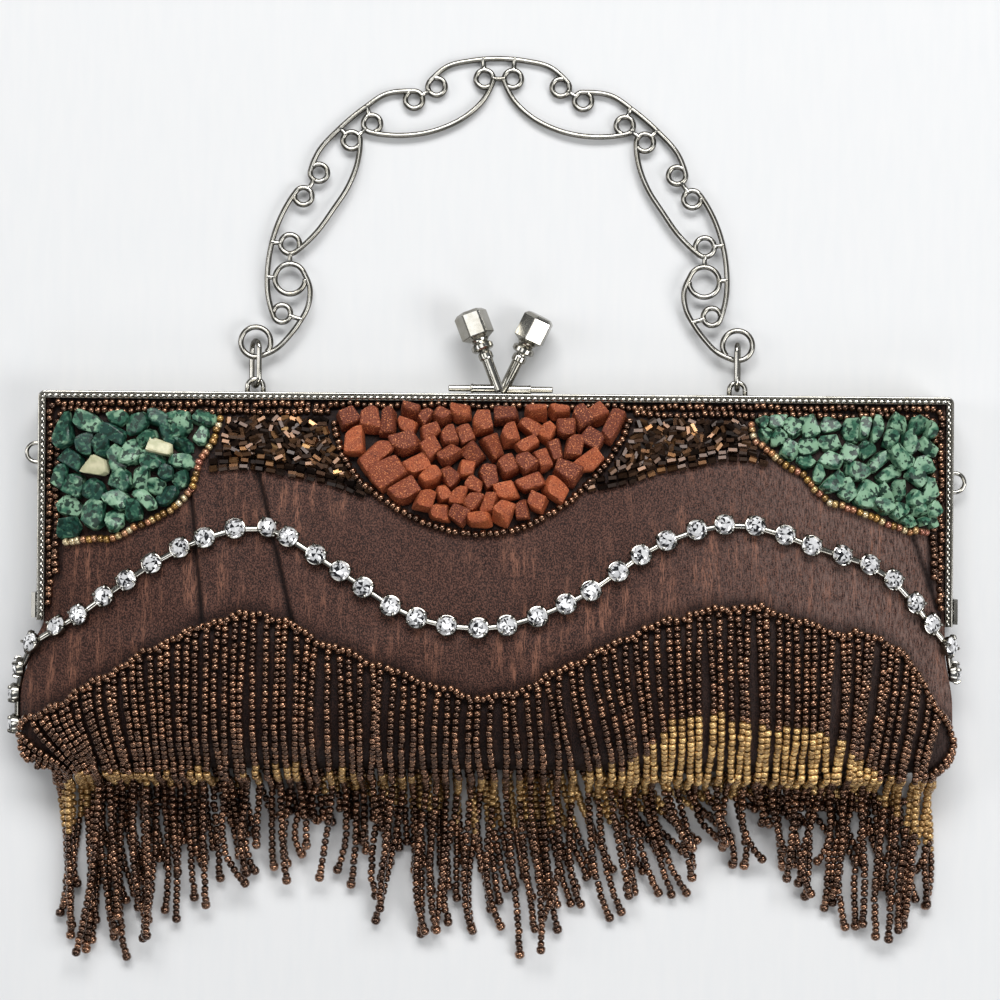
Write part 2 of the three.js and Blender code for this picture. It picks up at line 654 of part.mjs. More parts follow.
function pouchGeometry() {
  const outer = POUCH_SECTIONS.map((section) => pouchRing(section, FRONT_SHARES, BACK_SHARES, true));
  const hollowShares = FRONT_SHARES.filter((_, i) => i % 2 === 0);
  const hollowBack = BACK_SHARES.filter((share) => Math.abs(share) !== RIM.turn);
  const rows = [{ ...POUCH_SECTIONS[0], y: FRAME_TOP + MOUTH_CUT }, ...POUCH_SECTIONS.slice(1, -1)];
  const inner = rows.map((section) => pouchRing(hollowSection(section), hollowShares, hollowBack, false));
  return geometryOf(solidOf(loft(outer)).subtract(solidOf(loft(inner))));
}

// The front's height, with an easy slope up to each pleat's step, as cover sewn over it lies
function frontHeight(x, y) {
  const section = sectionAt(y);
  const reach = (x < 0 ? section.left : section.right) - section.ledge;
  const share = Math.max(-1, Math.min(1, x / reach));
  const step = PLEATS.find(({ at }) => share < at && share > at - PLEAT_EASE);
  const easy = step ? (step.depth * pleatFade(y) * (share - step.at + PLEAT_EASE)) / PLEAT_EASE : 0;
  return frontAt(section, share) + Math.max(easy, pleatRise(share, y));
}

function frontNormal(x, y) {
  const step = 0.5;
  const slopeX = (frontHeight(x + step, y) - frontHeight(x - step, y)) / (2 * step);
  const slopeY = (frontHeight(x, y + step) - frontHeight(x, y - step)) / (2 * step);
  return new THREE.Vector3(-slopeX, -slopeY, 1).normalize();
}

// The line's y at a share of the half width, found by halving along a smooth curve
function lineAt(column, share) {
  const halvings = 30;
  const points = FRONT_LINES.map((row) => new THREE.Vector3(row.share, row[column], 0));
  const curve = new THREE.CatmullRomCurve3(points);
  let [low, high] = [0, 1];
  for (let i = 0; i < halvings; i++) {
    const middle = (low + high) / 2;
    if (curve.getPoint(middle).x < share) low = middle;
    else high = middle;
  }
  return curve.getPoint(low).y;
}

// Stone chips

// A repeatable run of numbers from 0 to 1
function numbersFrom(seed) {
  let state = seed;
  return () => {
    state = (state * RANDOM.factor) % RANDOM.modulus;
    return state / RANDOM.modulus;
  };
}

// The field's lower edge at share u of its half width, as a share of its depth
function fieldDepth(field, u) {
  if (field.outline === "moon") return Math.max(0, 1 - Math.abs(u) ** MOON_EDGE.power) ** MOON_EDGE.round;
  return Math.sqrt(Math.max(0, 1 - u * u));
}

const fieldX = (field, u) => field.x + (field.inward ?? 1) * u * field.halfWidth;

// Chip middles: of a few tries each, the place farthest from the chips before it is kept
function chipPlaces(field) {
  const next = numbersFrom(field.seed);
  const places = [];
  const lowest = field.outline === "moon" ? -1 : 0;
  while (places.length < field.count) {
    let best = null;
    for (let attempt = 0; attempt < CHIP_TRIES; attempt++) {
      const [u, v] = [lowest + next() * (1 - lowest), next()];
      if (v > fieldDepth(field, u)) continue;
      const [x, y] = [fieldX(field, u), field.top - v * field.depth];
      const clear = Math.min(...places.map((other) => Math.hypot(other[0] - x, other[1] - y)));
      if (!best || clear > best.clear) best = { spot: [x, y], clear };
    }
    if (best) places.push(best.spot);
  }
  return places;
}

// Points round the field's edge, which is straight along the frame and curved below
function fieldOutline(field) {
  const moon = field.outline === "moon";
  const edge = Array.from({ length: FIELD_EDGE_STEPS + 1 }, (_, i) => {
    const share = i / FIELD_EDGE_STEPS;
    const u = moon ? -Math.cos(Math.PI * share) : Math.sin((Math.PI / 2) * share);
    return [fieldX(field, u), field.top - field.depth * fieldDepth(field, u)];
  });
  return moon ? edge : [[field.x, field.top], ...edge];
}

// The part of a polygon that is nearer to one place than to another
function nearerPart(polygon, place, other) {
  const [halfX, halfY] = [(place[0] + other[0]) / 2, (place[1] + other[1]) / 2];
  const past = ([x, y]) => (x - halfX) * (other[0] - place[0]) + (y - halfY) * (other[1] - place[1]);
  return polygon.flatMap((point, i) => {
    const after = polygon[(i + 1) % polygon.length];
    const [here, there] = [past(point), past(after)];
    const kept = here <= 0 ? [point] : [];
    if (here * there >= 0) return kept;
    const share = here / (here - there);
    return [...kept, [point[0] + (after[0] - point[0]) * share, point[1] + (after[1] - point[1]) * share]];
  });
}

function middleOf(polygon) {
  const sums = polygon.reduce(([area, x, y], [ax, ay], i) => {
    const [bx, by] = polygon[(i + 1) % polygon.length];
    const cross = ax * by - bx * ay;
    return [area + cross, x + (ax + bx) * cross, y + (ay + by) * cross];
  }, [0, 0, 0]);
  return [sums[1] / (3 * sums[0]), sums[2] / (3 * sums[0])];
}

// Each chip's ground is what lies nearer to it than to any other chip
function chipGrounds(field) {
  const outline = fieldOutline(field);
  const groundsOf = (places) => places.map((place) => places.reduce((polygon, other) => (
    other === place ? polygon : nearerPart(polygon, place, other)
  ), outline));
  let places = chipPlaces(field);
  for (let round = 0; round < CHIP_SETTLING; round++) places = groundsOf(places).map(middleOf);
  return groundsOf(places);
}

// Chips stand close together on one thin ground over the curve of the front
function stoneGeometry(field) {
  const points = [];
  const faces = [];
  const corners = new Map();
  const edges = new Map();
  const add = (x, y, z) => points.push(new THREE.Vector3(x, y, z)) - 1;
  const groundLevel = (x, y) => frontHeight(x, y) + GROUND_LIFT;
  const cornerAt = ([x, y]) => {
    const key = `${Math.round(x / CORNER_SNAP)} ${Math.round(y / CORNER_SNAP)}`;
    if (!corners.has(key)) {
      const under = add(x, y, groundLevel(x, y));
      corners.set(key, { x, y, under, over: add(x, y, groundLevel(x, y) + CHIP_GROUND) });
    }
    return corners.get(key);
  };
  const next = numbersFrom(field.seed);
  for (const ground of chipGrounds(field)) {
    const ring = ground.map(cornerAt).filter((corner, i, all) => corner !== all[(i + 1) % all.length]);
    const [middleX, middleY] = middleOf(ground);
    const height = field.height * (CHIP_HEIGHT_SHARE.least + CHIP_HEIGHT_SHARE.spread * next());
    const [tiltX, tiltY] = [(next() - 0.5) * CHIP_TILT, (next() - 0.5) * CHIP_TILT];
    const top = ring.map((corner) => {
      const [x, y] = [(corner.x - middleX) * CHIP_SHRINK, (corner.y - middleY) * CHIP_SHRINK];
      const level = groundLevel(middleX + x, middleY + y) + CHIP_GROUND;
      return add(middleX + x, middleY + y, level + height + x * tiltX + y * tiltY);
    });
    ring.forEach((corner, i) => {
      const j = (i + 1) % ring.length;
      faces.push(corner.over, ring[j].over, top[j], corner.over, top[j], top[i]);
      edges.set(`${corner.over} ${ring[j].over}`, [corner, ring[j]]);
      if (i === 0 || j === 0) return;
      faces.push(top[0], top[i], top[j], ring[0].under, ring[j].under, corner.under);
    });
  }
  for (const [a, b] of edges.values()) {
    if (edges.has(`${b.over} ${a.over}`)) continue;
    faces.push(a.under, b.under, b.over, a.under, b.over, a.over);
  }
  const geometry = new THREE.BufferGeometry().setFromPoints(points);
  geometry.setIndex(faces);
  return geometryOf(solidOf(geometry));
}

function stoneField(field) {
  const finish = { color: field.colour, roughness: 0.3, metalness: 0 };
  return mesh(field.name, stoneGeometry(field), finish);
}

// Cup chain

function chainPath() {
  const place = (x, y) => new THREE.Vector3(x, y, frontHeight(x, y) + CHAIN_LIFT);
  const sidePoint = (side, y, level) => {
    const section = sectionAt(y);
    const reach = (side < 0 ? section.left : section.right) + CHAIN_LIFT;
    const z = THREE.MathUtils.lerp(section.backEdge, section.frontEdge, level);
    return new THREE.Vector3(side * reach, y, z);
  };
  const points = [];
  for (let step = -CHAIN_FRONT_STEPS; step <= CHAIN_FRONT_STEPS; step++) {
    const share = (CHAIN_FRONT_REACH * step) / CHAIN_FRONT_STEPS;
    const y = lineAt("chain", share);
    points.push(place(xAt(sectionAt(y), share), y));
  }
  const sides = CHAIN_SIDE_ROWS.map(({ side, y, level }) => sidePoint(side, y, level));
  const left = sides.filter((point) => point.x < 0).reverse();
  const right = sides.filter((point) => point.x > 0);
  return new THREE.CatmullRomCurve3([...left, ...points, ...right], false, "centripetal");
}

// Outward direction at a point of the chain: the front's own, or the side's once past the edge
function chainNormal(point) {
  const reachAt = (y) => (point.x < 0 ? sectionAt(y).left : sectionAt(y).right);
  if (Math.abs(point.x) < reachAt(point.y) - CHAIN_LIFT) return frontNormal(point.x, point.y);
  const step = 0.5;
  const slope = (reachAt(point.y + step) - reachAt(point.y - step)) / (2 * step);
  const level = THREE.MathUtils.clamp(point.z - SIDE.frontEdge, 0, 1);
  return new THREE.Vector3(Math.sign(point.x), -slope, level).normalize();
}

// One cup with its stone: rings of corners round its middle, from the base to the stone's table
function cupCorners(place, along, outward) {
  const across = outward.clone().cross(along).normalize();
  const ahead = across.clone().cross(outward);
  const barShare = CUP.barHeight / CUP.girdleHeight;
  const levels = {
    base: [0, CUP.base],
    bar: [CUP.barHeight, CUP.base + (CUP.girdle - CUP.base) * barShare],
    girdle: [CUP.girdleHeight, CUP.girdle],
    table: [CUP.height, CUP.table],
  };
  return Object.fromEntries(Object.entries(levels).map(([name, [height, radius]]) => [
    name,
    Array.from({ length: CUP.sides }, (_, k) => {
      const angle = (2 * Math.PI * (k + 0.5)) / CUP.sides;
      return place.clone().addScaledVector(outward, height)
        .addScaledVector(ahead, radius * Math.cos(angle))
        .addScaledVector(across, radius * Math.sin(angle));
    }),
  ]));
}

// Cups in a row. The low half of each cup's wall that faces its neighbour opens into the bar
// between them, so the chain is one body.
function chainGeometry(places, normals) {
  const points = [];
  const faces = [];
  const add = (point) => points.push(point) - 1;
  const quad = (a, b, c, d) => faces.push(a, b, c, a, c, d);
  const last = CUP.sides - 1;
  const [behindA, behindB] = [CUP.sides / 2 - 1, CUP.sides / 2];
  const cups = places.map((place, i) => {
    const along = places[Math.min(i + 1, places.length - 1)].clone().sub(places[Math.max(i - 1, 0)]);
    const rings = cupCorners(place, along, normals[i]);
    return Object.fromEntries(Object.entries(rings).map(([name, ring]) => [name, ring.map(add)]));
  });
  cups.forEach(({ base, bar, girdle, table }, i) => {
    for (let k = 0; k < CUP.sides; k++) {
      const after = (k + 1) % CUP.sides;
      const facesBar = k === last || k === behindA;
      const facesEnd = k === last ? i === cups.length - 1 : i === 0;
      const wall = [base[after], girdle[after], girdle[k], base[k]];
      if (facesBar) {
        quad(bar[k], bar[after], girdle[after], girdle[k]);
        if (facesEnd) quad(base[k], base[after], bar[after], bar[k]);
      } else if (k === 0 || k === behindB) {
        faces.push(bar[k], wall[0], wall[1], bar[k], wall[1], wall[2]);
        faces.push(bar[k], wall[3], wall[0]);
      } else if (after === last || after === behindA) {
        faces.push(bar[after], wall[1], wall[2], bar[after], wall[2], wall[3]);
        faces.push(bar[after], wall[3], wall[0]);
      } else {
        quad(...wall);
      }
      quad(girdle[k], girdle[after], table[after], table[k]);
      if (k > 0 && k < last) faces.push(table[0], table[k], table[after], base[0], base[after], base[k]);
    }
    if (i === 0) return;
    const before = cups[i - 1];
    quad(base[behindA], before.base[0], before.bar[0], bar[behindA]);
    quad(before.base[last], base[behindB], bar[behindB], before.bar[last]);
    quad(before.bar[last], bar[behindB], bar[behindA], before.bar[0]);
    quad(before.base[0], base[behindA], base[behindB], before.base[last]);
  });
  const geometry = new THREE.BufferGeometry().setFromPoints(points);
  geometry.setIndex(faces);
  return geometryOf(solidOf(geometry));
}

function rhinestoneChain() {
  const path = chainPath();
  const places = path.getSpacedPoints(Math.round(path.getLength() / CUP_PITCH));
  return mesh("rhinestone_chain", chainGeometry(places, places.map(chainNormal)), CRYSTAL);
}

// Fringe

// The way that a lock takes in its own upright plane: over the belly, down and out where the bag
// lies. Heads stand closer together towards both sides. across runs from 0 at the left lock's edge
// to 1 at the right lock's.
function lockPath(across) {
  const closer = 0.5 - 0.5 * Math.cos(Math.PI * across);
  const headX = THREE.MathUtils.lerp(FRINGE.headLeft, FRINGE.headRight, (across + closer) / 2);
  const tipX = THREE.MathUtils.lerp(FRINGE.tipLeft, FRINGE.tipRight, across);
  const headY = lineAt("heading", (2 * headX) / (FRINGE.headRight - FRINGE.headLeft));
  const tipY = headY - FRINGE.length;
  const bellyY = Math.min(FRINGE_BELLY_Y, headY - FRINGE_HEAD_RUN);
  const upper = [headY, (headY + bellyY) / 2, bellyY, FRINGE_TURN_Y];
  const rows = upper.map((y) => ({ y, z: frontHeight(headX, y) + FRINGE_LIFT }));
  const shoulder = rows.at(-1).z;
  for (const { y, z } of FRINGE_DROP) rows.push({ y, z: Math.min(z, shoulder - FRINGE_SHOULDER_DROP) });
  const flatStart = FRINGE_DROP.at(-1).y;
  rows.push({ y: (flatStart + tipY) / 2, z: FRINGE.floor });
  rows.push({ y: tipY, z: FRINGE.floor });
  return rows.map(({ y, z }, i) => {
    const down = i / (rows.length - 1);
    return new THREE.Vector3(THREE.MathUtils.lerp(headX, tipX, down * down), y, z);
  });
}

// Outward direction of each row of a lock's path
function lockNormals(path) {
  return path.map((_, i) => {
    const before = path[Math.max(i - 1, 0)];
    const after = path[Math.min(i + 1, path.length - 1)];
    const along = after.clone().sub(before);
    return new THREE.Vector3(0, along.z, -along.y).normalize();
  });
}

function fringeGeometry() {
  const points = [];
  const faces = [];
  const add = (point) => points.push(point) - 1;
  const raised = (path, lift) => {
    const normals = lockNormals(path);
    return path.map((point, i) => add(point.clone().addScaledVector(normals[i], lift)));
  };
  const edgeOf = (across) => {
    const path = lockPath(across);
    return { under: raised(path, 0), over: raised(path, FRINGE.valley) };
  };
  const quad = (a, b, c, d) => faces.push(a, b, c, a, c, d);
  const split = FRINGE_SPLIT_ROW;
  const sewn = Array.from({ length: FRINGE.locks + 1 }, (_, i) => edgeOf(i / FRINGE.locks));
  const rowCount = sewn[0].under.length;
  for (let lock = 0; lock < FRINGE.locks; lock++) {
    const ridge = raised(lockPath((lock + 0.5) / FRINGE.locks), FRINGE.ridge);
    const narrow = (side) => edgeOf((lock + 0.5 + side * 0.5 * FRINGE.tipShare) / FRINGE.locks);
    const [freeLeft, freeRight] = [narrow(-1), narrow(1)];
    const edge = (row, free, joined) => (row <= split
      ? { under: joined.under[row], over: joined.over[row] }
      : { under: free.under[row], over: free.over[row] });
    for (let row = 0; row + 1 < rowCount; row++) {
      const [a, b] = [edge(row, freeLeft, sewn[lock]), edge(row + 1, freeLeft, sewn[lock])];
      const [c, d] = [edge(row, freeRight, sewn[lock + 1]), edge(row + 1, freeRight, sewn[lock + 1])];
      quad(a.over, b.over, ridge[row + 1], ridge[row]);
      quad(ridge[row], ridge[row + 1], d.over, c.over);
      quad(a.under, c.under, d.under, b.under);
      if (row >= split || lock === 0) quad(a.under, b.under, b.over, a.over);
      if (row >= split || lock === FRINGE.locks - 1) quad(c.over, d.over, d.under, c.under);
    }
    const endCap = (row, flip) => {
      const [l, r] = [edge(row, freeLeft, sewn[lock]), edge(row, freeRight, sewn[lock + 1])];
      const outline = [l.over, ridge[row], r.over, r.under];
      outline.slice(1).forEach((corner, i) => {
        faces.push(l.under, ...(flip ? [corner, outline[i]] : [outline[i], corner]));
      });
    };
    endCap(0, false);
    endCap(rowCount - 1, true);
  }
  const geometry = new THREE.BufferGeometry().setFromPoints(points);
  geometry.setIndex(faces);
  return geometryOf(solidOf(geometry));
}

const group = new THREE.Group();
group.add(
  mesh("frame_front", frameFront, METAL),
  mesh("frame_back", frameBack, METAL),
  mesh("hinge_plate_left", hingePlate(-1), METAL),
  mesh("hinge_plate_right", hingePlate(1), METAL),
  ...CLASP_POSTS.map((post) => mesh(post.name, claspPost(post), METAL)),
  placed(mesh("staple_left", stapleWire(STAPLE), METAL), -STAPLE_X, FRAME_TOP, BACK_MIDDLE_Z, 0),
  placed(mesh("staple_right", stapleWire(STAPLE), METAL), STAPLE_X, FRAME_TOP, BACK_MIDDLE_Z, 0),
  placed(
    mesh("side_loop_left", stapleWire(SIDE_LOOP), METAL),
    -FRAME_HALF_WIDTH, SIDE_LOOP_Y.left, BACK_MIDDLE_Z, Math.PI / 2,
  ),
  placed(
    mesh("side_loop_right", stapleWire(SIDE_LOOP), METAL),
    FRAME_HALF_WIDTH, SIDE_LOOP_Y.right, BACK_MIDDLE_Z, -Math.PI / 2,
  ),
  link("link_left", -1, LINK_TURN.left),
  link("link_right", 1, LINK_TURN.right),
  handle(),
  mesh("pouch", pouchGeometry(), SATIN),
  ...STONE_FIELDS.map(stoneField),
  rhinestoneChain(),
  mesh("fringe", fringeGeometry(), BEADS),
);

export default group;
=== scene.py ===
"""Looks of a beaded evening clutch that lies on its back: a satin pouch on a metal frame, with
kiss-lock posts, a scrolled wire handle, stone chips, bead rows, a cup chain and a beaded fringe.
Sizes are millimetres. +X is the bag's width, +Y points to the handle and +Z out of its front."""

import math

import bpy
import numpy as np
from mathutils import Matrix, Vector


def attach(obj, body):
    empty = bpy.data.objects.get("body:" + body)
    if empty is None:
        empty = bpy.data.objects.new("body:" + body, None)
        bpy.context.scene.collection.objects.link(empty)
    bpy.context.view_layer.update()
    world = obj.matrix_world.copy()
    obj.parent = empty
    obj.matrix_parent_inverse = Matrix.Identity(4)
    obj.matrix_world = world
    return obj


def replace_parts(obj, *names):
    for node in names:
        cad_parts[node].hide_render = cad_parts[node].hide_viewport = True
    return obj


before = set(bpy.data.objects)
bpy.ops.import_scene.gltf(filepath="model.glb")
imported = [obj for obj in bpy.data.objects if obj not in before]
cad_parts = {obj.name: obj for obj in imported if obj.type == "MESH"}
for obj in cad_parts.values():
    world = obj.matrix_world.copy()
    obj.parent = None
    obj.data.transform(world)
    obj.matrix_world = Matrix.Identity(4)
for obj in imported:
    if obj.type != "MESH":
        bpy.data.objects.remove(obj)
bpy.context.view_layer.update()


# Pouch: a soft bag of dark brown slub satin on interlining, cut as a front and a back and sewn
# together round the sides and bottom. Its upper edges are glued into the frame's channels, and
# pressed pleats take in the front, two on the left and a shallow one at the right.

MM = 0.001
# Sections from the bottom to the mouth: height, reach to the left and right, level of the front
# and back edges, width of the flat ledge, where the underside turns up as a share of the half
# width, rise of the front between its edges, level of the underside
POUCH_SECTIONS = np.array([
    (-49.5, 107.4, 104.8, 9.6, 4.4, 0.4, 0.870, 1.6, 3.2),
    (-47.9, 111.0, 107.8, 9.6, 4.4, 0.4, 0.870, 8.0, 0.6),
    (-44.0, 112.7, 109.5, 9.6, 4.4, 0.4, 0.870, 13.0, 0.0),
    (-34.0, 112.9, 109.4, 9.6, 4.4, 0.4, 0.870, 16.6, 0.0),
    (-20.0, 109.6, 107.5, 9.6, 4.4, 0.4, 0.870, 16.2, 0.0),
    (-14.6, 107.8, 107.8, 9.1, 2.1, 1.7, 0.975, 15.6, 0.0),
    (1.0, 107.8, 107.8, 9.1, 2.1, 1.7, 0.975, 12.4, 0.0),
    (14.0, 107.8, 107.8, 9.1, 2.1, 1.7, 0.975, 8.8, 0.0),
    (26.0, 107.8, 107.8, 9.1, 2.1, 1.7, 0.975, 5.2, 0.0),
    (33.6, 107.8, 107.8, 9.1, 2.1, 1.7, 0.975, 2.3, 0.0),
    (36.6, 107.8, 107.8, 9.1, 2.1, 1.7, 0.975, 0.2, 2.1),
    (38.6, 107.8, 107.8, 9.1, 2.1, 1.7, 0.975, 0.0, 2.1),
])
BELLY_POWER = 3.2
BELLY_ROUND = 0.75
# Pleats: share of the half width at PLEAT_AT, drift of that share per mm downwards, depth, run
PLEATS = [(-0.668, 0.0011, 1.5, 0.12), (-0.500, 0.0024, 1.5, 0.14), (0.925, 0.0034, 0.9, 0.06)]
PLEAT_ZONES = [(-0.69, -0.62), (-0.53, -0.40), (0.90, 0.98)]
PLEAT_LIP = 0.007
PLEAT_AT = 10.0
PLEAT_BOTTOM = -26.0
PLEAT_EASE = 12.0
CREASE_DEPTH = 0.35
# Height below which the front is free of the frame
FREE_BELOW = 34.0
FURROW_DEPTH = 0.5
FURROW_WIDTH = 2.0
WAVE_HEIGHT = 0.25
# Where the satin lies in shade: below this height over the heading, and by the frame above and
# outside of these places, along the arms down to this height
SHADE_OVER_HEADING = 4.5
SHADE_TOP = 33.2
SHADE_SIDE = 102.0
SHADE_ARM_END = -10.0
# Places across the front between which a painted sheen makes the satin lighter and lighter, as if
# it were lit more from the right
PAINTED_SHEEN_FROM = 20.0
PAINTED_SHEEN_TO = 100.0
# Lines sewn over the front by share of the half width: the cup chain's y, the fringe heading's y
FRONT_LINES = np.array([
    (-1.00, -20.0, -38.0), (-0.87, -9.6, -29.5), (-0.68, 3.0, -18.0), (-0.51, 7.1, -12.6),
    (-0.35, -2.2, -19.8), (-0.18, -13.0, -26.8), (0.00, -15.4, -31.4), (0.18, -8.8, -23.0),
    (0.37, 4.4, -13.6), (0.54, 8.8, -10.2), (0.72, 3.2, -15.6), (0.88, -3.6, -20.6), (1.00, -18.0, -39.0),
])
HEADING_HALF_WIDTH = 108.4
# Lower borders of the two fields of bugle beads
BORDER_LEFT = np.array([
    (-67.9, 21.2), (-59.1, 21.7), (-51.1, 20.6), (-43.2, 19.2), (-35.2, 16.9), (-29.5, 14.6),
])
BORDER_RIGHT = np.array([
    (21.5, 17.0), (31.9, 19.2), (39.5, 21.8), (47.1, 23.1), (53.9, 24.5), (58.7, 24.6), (65.5, 23.0),
])
# Lines of the bead ropes that edge the three fields of stone chips
ROPE_RED = np.array([
    (-38.6, 33.0), (-37.2, 27.6), (-33.6, 20.6), (-27.0, 14.8), (-19.8, 10.4), (-12.4, 7.6), (-3.1, 6.4),
    (4.0, 7.3), (9.4, 9.4), (16.0, 13.4), (21.8, 18.4), (27.0, 24.6), (30.6, 30.6), (31.6, 33.4),
])
ROPE_GREEN_LEFT = np.array([
    (-65.3, 33.8), (-66.7, 28.6), (-70.1, 22.1), (-71.1, 17.4), (-74.5, 13.1), (-79.9, 9.5),
    (-85.1, 7.1), (-90.4, 4.7), (-95.5, 4.4), (-102.0, 3.4),
])
ROPE_GREEN_RIGHT = np.array([
    (60.6, 33.4), (61.4, 29.1), (63.9, 27.0), (68.1, 23.4), (72.4, 21.1), (75.4, 17.6), (78.7, 14.8),
    (84.0, 13.0), (89.3, 11.0), (94.6, 8.8), (99.0, 7.8), (102.5, 7.6),
])
HINGE_END = -15.0
POUCH_COLUMNS = 250
POUCH_SIDE_COLUMNS = 12
POUCH_ROWS = 70
ROW_SPREAD = 1.1
# Rows that close the bottom: distance below the lowest section, share of its thickness
BOTTOM_ROWS = np.array([(0.5, 0.36), (0.35, 0.7)])
# How many more columns there are at the pleats and beyond this share of the half width
CROWDING = 3
CROWDED_FROM = 0.92
ZONE_EASE = 0.02
POUCH_SKIN = 1.2


def curve_through(knots, values, at, bounded=False):
    """Values at `at` on the smooth curve through the knots: on each stretch the cubic that has the
    values and slopes of its two ends. A knot's slope is the mean of the slopes of its two stretches,
    each weighted by the other's run, or where bounded their harmonic mean, 0 where they turn back."""
    knots = np.asarray(knots, float)
    values = np.asarray(values, float).reshape(len(knots), -1)
    run = np.diff(knots)[:, None]
    steep = np.diff(values, axis=0) / run
    before, after = steep[:-1], steep[1:]
    if bounded:
        turning = before * after <= 0
        safe_before = np.where(turning, 1, before)
        safe_after = np.where(turning, 1, after)
        near, far = run[1:] * 2 + run[:-1], run[1:] + run[:-1] * 2
        inner = np.where(turning, 0, (near + far) / (near / safe_before + far / safe_after))
    else:
        inner = (before * run[1:] + after * run[:-1]) / (run[1:] + run[:-1])
    slope = np.vstack([steep[:1], inner, steep[-1:]])
    at = np.clip(np.ravel(at), knots[0], knots[-1])
    spot = np.clip(np.searchsorted(knots, at, side="right") - 1, 0, len(knots) - 2)
    wide = run[spot]
    share = (at - knots[spot])[:, None] / wide
    rest = 1 - share
    ends = values[spot] * (1 + 2 * share) * rest**2 + values[spot + 1] * share**2 * (1 + 2 * rest)
    return ends + wide * share * rest * (slope[spot] * rest - slope[spot + 1] * share)


def smooth_step(value):
    """0 below 0, 1 above 1, and 3v^2 - 2v^3 between."""
    value = np.clip(value, 0, 1)
    return value**2 * (3 - 2 * value)


def pouch_section(y):
    """The columns of POUCH_SECTIONS at heights y, read from the table on smooth curves."""
    found = curve_through(POUCH_SECTIONS[:, 0], POUCH_SECTIONS[:, 1:], y, bounded=True)
    return found.T.reshape(-1, *np.shape(y))


def front_share(x, y):
    """Place across the front from -1 at its left edge to 1 at its right one."""
    left, right, _, _, ledge, _, _, _ = pouch_section(y)
    return np.clip(x / (np.where(x < 0, left, right) - ledge), -1, 1)


def heading_y(x):
    """Height of the fringe's heading at x: the sewn line with the dents that its stitches leave."""
    share = np.clip(x / HEADING_HALF_WIDTH, -1, 1)
    line = curve_through(FRONT_LINES[:, 0], FRONT_LINES[:, 2], share).reshape(np.shape(x))
    return line + 0.4 * np.sin(0.52 * x + 0.7) + 0.3 * np.sin(1.13 * x)


def pleat_fade(y):
    """How far the pleats are open: pressed flat at the frame and at the bottom, open between."""
    opening = smooth_step((FREE_BELOW - y) / PLEAT_EASE)
    return opening * smooth_step((y - PLEAT_BOTTOM) / PLEAT_EASE)


def past_pleat(share, y, place, drift):
    """How far a place on the front is past a pleat's line, as a share of the half width."""
    return share - place - drift * (PLEAT_AT - y)


def front_height(x, y):
    """Level of the front: its edge's level, plus the rise times (1 - share^3.2)^0.75 with share the
    part of the half width, plus each pleat's crease and the fold after it that falls off over its
    run, less the furrow where the fringe is sewn on, plus soft waves."""
    _, _, edge, _, _, _, rise, _ = pouch_section(y)
    share = front_share(x, y)
    level = edge + rise * (1 - np.abs(share) ** BELLY_POWER) ** BELLY_ROUND
    fade = pleat_fade(y)
    for place, drift, depth, run in PLEATS:
        past = past_pleat(share, y, place, drift)
        fall = np.clip(1 - past / run, 0, 1) ** 1.5
        crease = np.exp(-(((past + PLEAT_LIP) / PLEAT_LIP) ** 2))
        fold = smooth_step(past / PLEAT_LIP + 0.5) * fall
        level = level + depth * fade * (fold - CREASE_DEPTH * crease)
    soft = smooth_step((1 - np.abs(share)) * 6) * smooth_step((FREE_BELOW - y) / 10)
    furrow = np.exp(-(((y - heading_y(x)) / FURROW_WIDTH) ** 2))
    waves = np.sin(0.31 * x + 1.6 * np.sin(0.08 * y)) * np.sin(0.17 * y + 0.04 * x + 0.6)
    return level + soft * (WAVE_HEIGHT * waves - FURROW_DEPTH * furrow)


def front_shade(x, y):
    """How deep the satin lies in shade, 0 to 1: in the pleats' creases, along the frame and the
    fringe's heading, and under the fringe and the fields of beads and chips."""
    share = front_share(x, y)
    under = smooth_step((heading_y(x) + SHADE_OVER_HEADING - y) / 5) + smooth_step(y - SHADE_TOP)
    by_arm = smooth_step(np.abs(x) - SHADE_SIDE)
    under = under + by_arm * smooth_step((y - SHADE_ARM_END) / 8)
    for line in (BORDER_LEFT, BORDER_RIGHT, ROPE_RED, ROPE_GREEN_LEFT[::-1], ROPE_GREEN_RIGHT):
        inside = (x > line[0, 0]) & (x < line[-1, 0])
        under = under + inside * smooth_step(y - np.interp(x, *line.T) + 0.5)
    creases = 0
    for place, drift, _, _ in PLEATS:
        past = past_pleat(share, y, place, drift)
        creases = creases + np.exp(-((past / PLEAT_LIP + 0.4) ** 2)) * pleat_fade(y)
    return np.clip(0.85 * under + creases, 0, 1)


def on_front(x, y, lift):
    """Points that stand `lift` over the front."""
    return np.stack([x, y, front_height(x, y) + lift], axis=-1)


def unit(vectors):
    """Vectors of length 1 in the same directions."""
    return vectors / np.linalg.norm(vectors, axis=-1, keepdims=True)


def front_normal(x, y):
    """Outward direction of the front, from its slopes across 1 mm."""
    slope_x = front_height(x + 0.5, y) - front_height(x - 0.5, y)
    slope_y = front_height(x, y + 0.5) - front_height(x, y - 0.5)
    return unit(np.stack([-slope_x, -slope_y, np.ones_like(slope_x)], axis=-1))


def grid_faces(rows, columns, wrap_rows=False, wrap_columns=False):
    """Quads of a grid whose points are numbered along its rows."""
    row = np.arange(rows if wrap_rows else rows - 1)[:, None]
    column = np.arange(columns if wrap_columns else columns - 1)[None, :]
    next_row, next_column = (row + 1) % rows, (column + 1) % columns
    corners = [(row, column), (row, next_column), (next_row, next_column), (next_row, column)]
    return np.stack([r * columns + c for r, c in corners], axis=-1).reshape(-1, 4)


